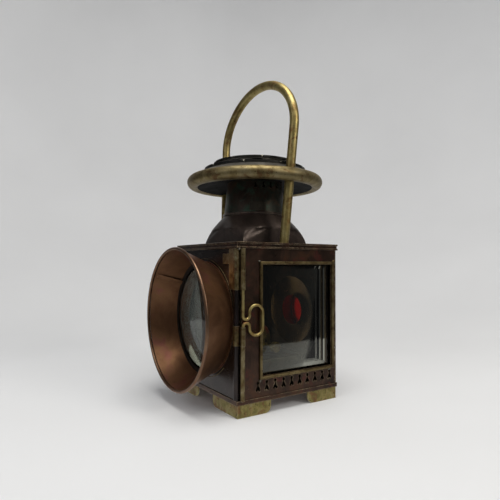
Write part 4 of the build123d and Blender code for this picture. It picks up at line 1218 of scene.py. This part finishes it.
@dataclass
class Studio:
    """Camera, lights, floor and backdrop, and the table and wall that the gloss mirrors."""

    eye: Vector = field(default_factory=lambda: Vector((0.4407, -0.2966, 0.1516)))
    bearing: float = 56.629
    pitch: float = 1.651
    roll: float = 0.164
    focal: float = 32.276
    sensor: float = 36.0
    nearest: float = 0.01
    paper_radius: float = 1.4
    paper_height: float = 1.8
    paper_sides: int = 96
    paper_bend: float = 1.0
    bend_steps: int = 20
    aim: tuple[float, float, float] = (0.0, 0.0, 0.15)
    room_tone: str = "8f9092"
    room_light: float = 0.2
    table_place: tuple[float, float, float] = (-0.1, 0.0, 0.0002)
    table_size: tuple[float, float] = (0.92, 1.15)
    wall_distance: float = 0.62
    wall_middle: float = 0.45
    wall_size: tuple[float, float] = (1.5, 0.9)

    def directions(self) -> tuple[Vector, Vector, Vector]:
        """Work out where the camera looks.

        Returns:
            Its right, its up and its forward directions.
        """
        turn, rise, tip = (math.radians(v) for v in (self.bearing, self.pitch, self.roll))
        ahead = Vector(
            (-math.sin(turn) * math.cos(rise), math.cos(turn) * math.cos(rise), math.sin(rise))
        )
        level = Vector((math.cos(turn), math.sin(turn), 0.0))
        above = level.cross(ahead)
        right = level * math.cos(tip) + above * math.sin(tip)
        up = above * math.cos(tip) - level * math.sin(tip)
        return right, up, ahead

    def camera(self) -> None:
        """Set up the camera."""
        right, up, ahead = self.directions()
        lens = bpy.data.cameras.new("camera")
        lens.lens = self.focal
        lens.sensor_width = self.sensor
        lens.clip_start = self.nearest
        stand = bpy.data.objects.new("camera", lens)
        bpy.context.scene.collection.objects.link(stand)
        turned = Matrix((right, up, -ahead)).transposed().to_4x4()
        stand.matrix_world = Matrix.Translation(self.eye) @ turned
        bpy.context.scene.camera = stand

    def paper(self) -> None:
        """Lay the floor and sweep it up all round as one curved sheet, which gloss doesn't see."""
        clear_selection()
        bpy.ops.mesh.primitive_cylinder_add(
            vertices=self.paper_sides, radius=self.paper_radius, depth=self.paper_height,
            end_fill_type="NGON", location=(0.0, 0.0, self.paper_height / 2),
        )
        sheet = bpy.context.active_object
        sheet.name = "studio_paper"
        bpy.ops.object.transform_apply(location=True)
        choose(sheet, Element.FACE, lambda face: face.normal.z > 0.5)
        with shaping(sheet):
            bpy.ops.mesh.delete(type="ONLY_FACE")
        points = sheet.data.vertices
        choose(sheet, Element.EDGE, lambda edge: all(points[end].co.z < 0.5 for end in edge.vertices))
        with shaping(sheet):
            bpy.ops.mesh.bevel(offset=self.paper_bend, segments=self.bend_steps, affect="EDGES")
            bpy.ops.mesh.select_all(action="SELECT")
            bpy.ops.mesh.normals_make_consistent(inside=True)
        pick(sheet)
        bpy.ops.object.shade_smooth()
        sheet.visible_glossy = False
        SHELF.coat(sheet, PAPER)

    def mirrored(self, name: str, place: Vector, facing: Vector, size: tuple[float, float]) -> None:
        """Set a pale sheet that only gloss sees, so that metal mirrors a table in a dim room.

        Args:
            name: its name.
            place: middle of the sheet.
            facing: the way that it faces.
            size: its width and height in metres.
        """
        clear_selection()
        bpy.ops.mesh.primitive_plane_add(size=1.0, location=place)
        sheet = bpy.context.active_object
        sheet.name = name
        sheet.scale = (*size, 1.0)
        sheet.rotation_euler = facing.to_track_quat("Z", "Y").to_euler()
        sheet.visible_camera = False
        sheet.visible_shadow = False
        sheet.visible_diffuse = False
        sheet.visible_transmission = False
        SHELF.coat(sheet, MIRRORED_PAPER)

    def hang(self, lamp: SoftLamp) -> None:
        """Hang a lamp so that it faces the object.

        Args:
            lamp: the lamp.
        """
        light = bpy.data.lights.new(lamp.name, "AREA")
        light.size = lamp.size
        light.energy = lamp.power
        light.color = paint(lamp.colour)[:3]
        stand = bpy.data.objects.new(lamp.name, light)
        bpy.context.scene.collection.objects.link(stand)
        stand.location = lamp.place
        beam = Vector(self.aim) - Vector(lamp.place)
        stand.rotation_euler = beam.to_track_quat("-Z", "Y").to_euler()

    def room(self) -> None:
        """Give the room its dim light."""
        world = bpy.data.worlds.new("room")
        bpy.context.scene.world = world
        world.use_nodes = True
        tree = world.node_tree
        tree.nodes.clear()
        output = tree.nodes.new("ShaderNodeOutputWorld")
        air = tree.nodes.new("ShaderNodeBackground")
        air.inputs["Color"].default_value = paint(self.room_tone)
        air.inputs["Strength"].default_value = self.room_light
        tree.links.new(air.outputs[0], output.inputs["Surface"])

    def make(self) -> None:
        """Build the whole studio."""
        self.camera()
        self.paper()
        for lamp in LAMPS:
            self.hang(lamp)
        upwards = Vector((0.0, 0.0, 1.0))
        self.mirrored("mirrored_table", Vector(self.table_place), upwards, self.table_size)
        ahead = self.directions()[-1]
        flat = Vector((ahead.x, ahead.y, 0.0)).normalized()
        wall_place = flat * self.wall_distance + upwards * self.wall_middle
        self.mirrored("mirrored_wall", wall_place, -flat, self.wall_size)
        self.room()
        bpy.context.scene.view_settings.view_transform = "Standard"
        bpy.context.scene.view_settings.exposure = 0.0
        log.info("studio is set")


def main() -> None:
    """Build the lantern's looks in order."""
    logging.basicConfig(level=logging.INFO, format="%(name)s: %(message)s")
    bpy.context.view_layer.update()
    Studio().make()
    CadFinisher().dress()
    ChimneyDome().make()
    CrownTabs().make()
    HoodTrim().make()
    WindowTabs().make()
    SolderWork().make()


if __name__ == "__main__":
    main()
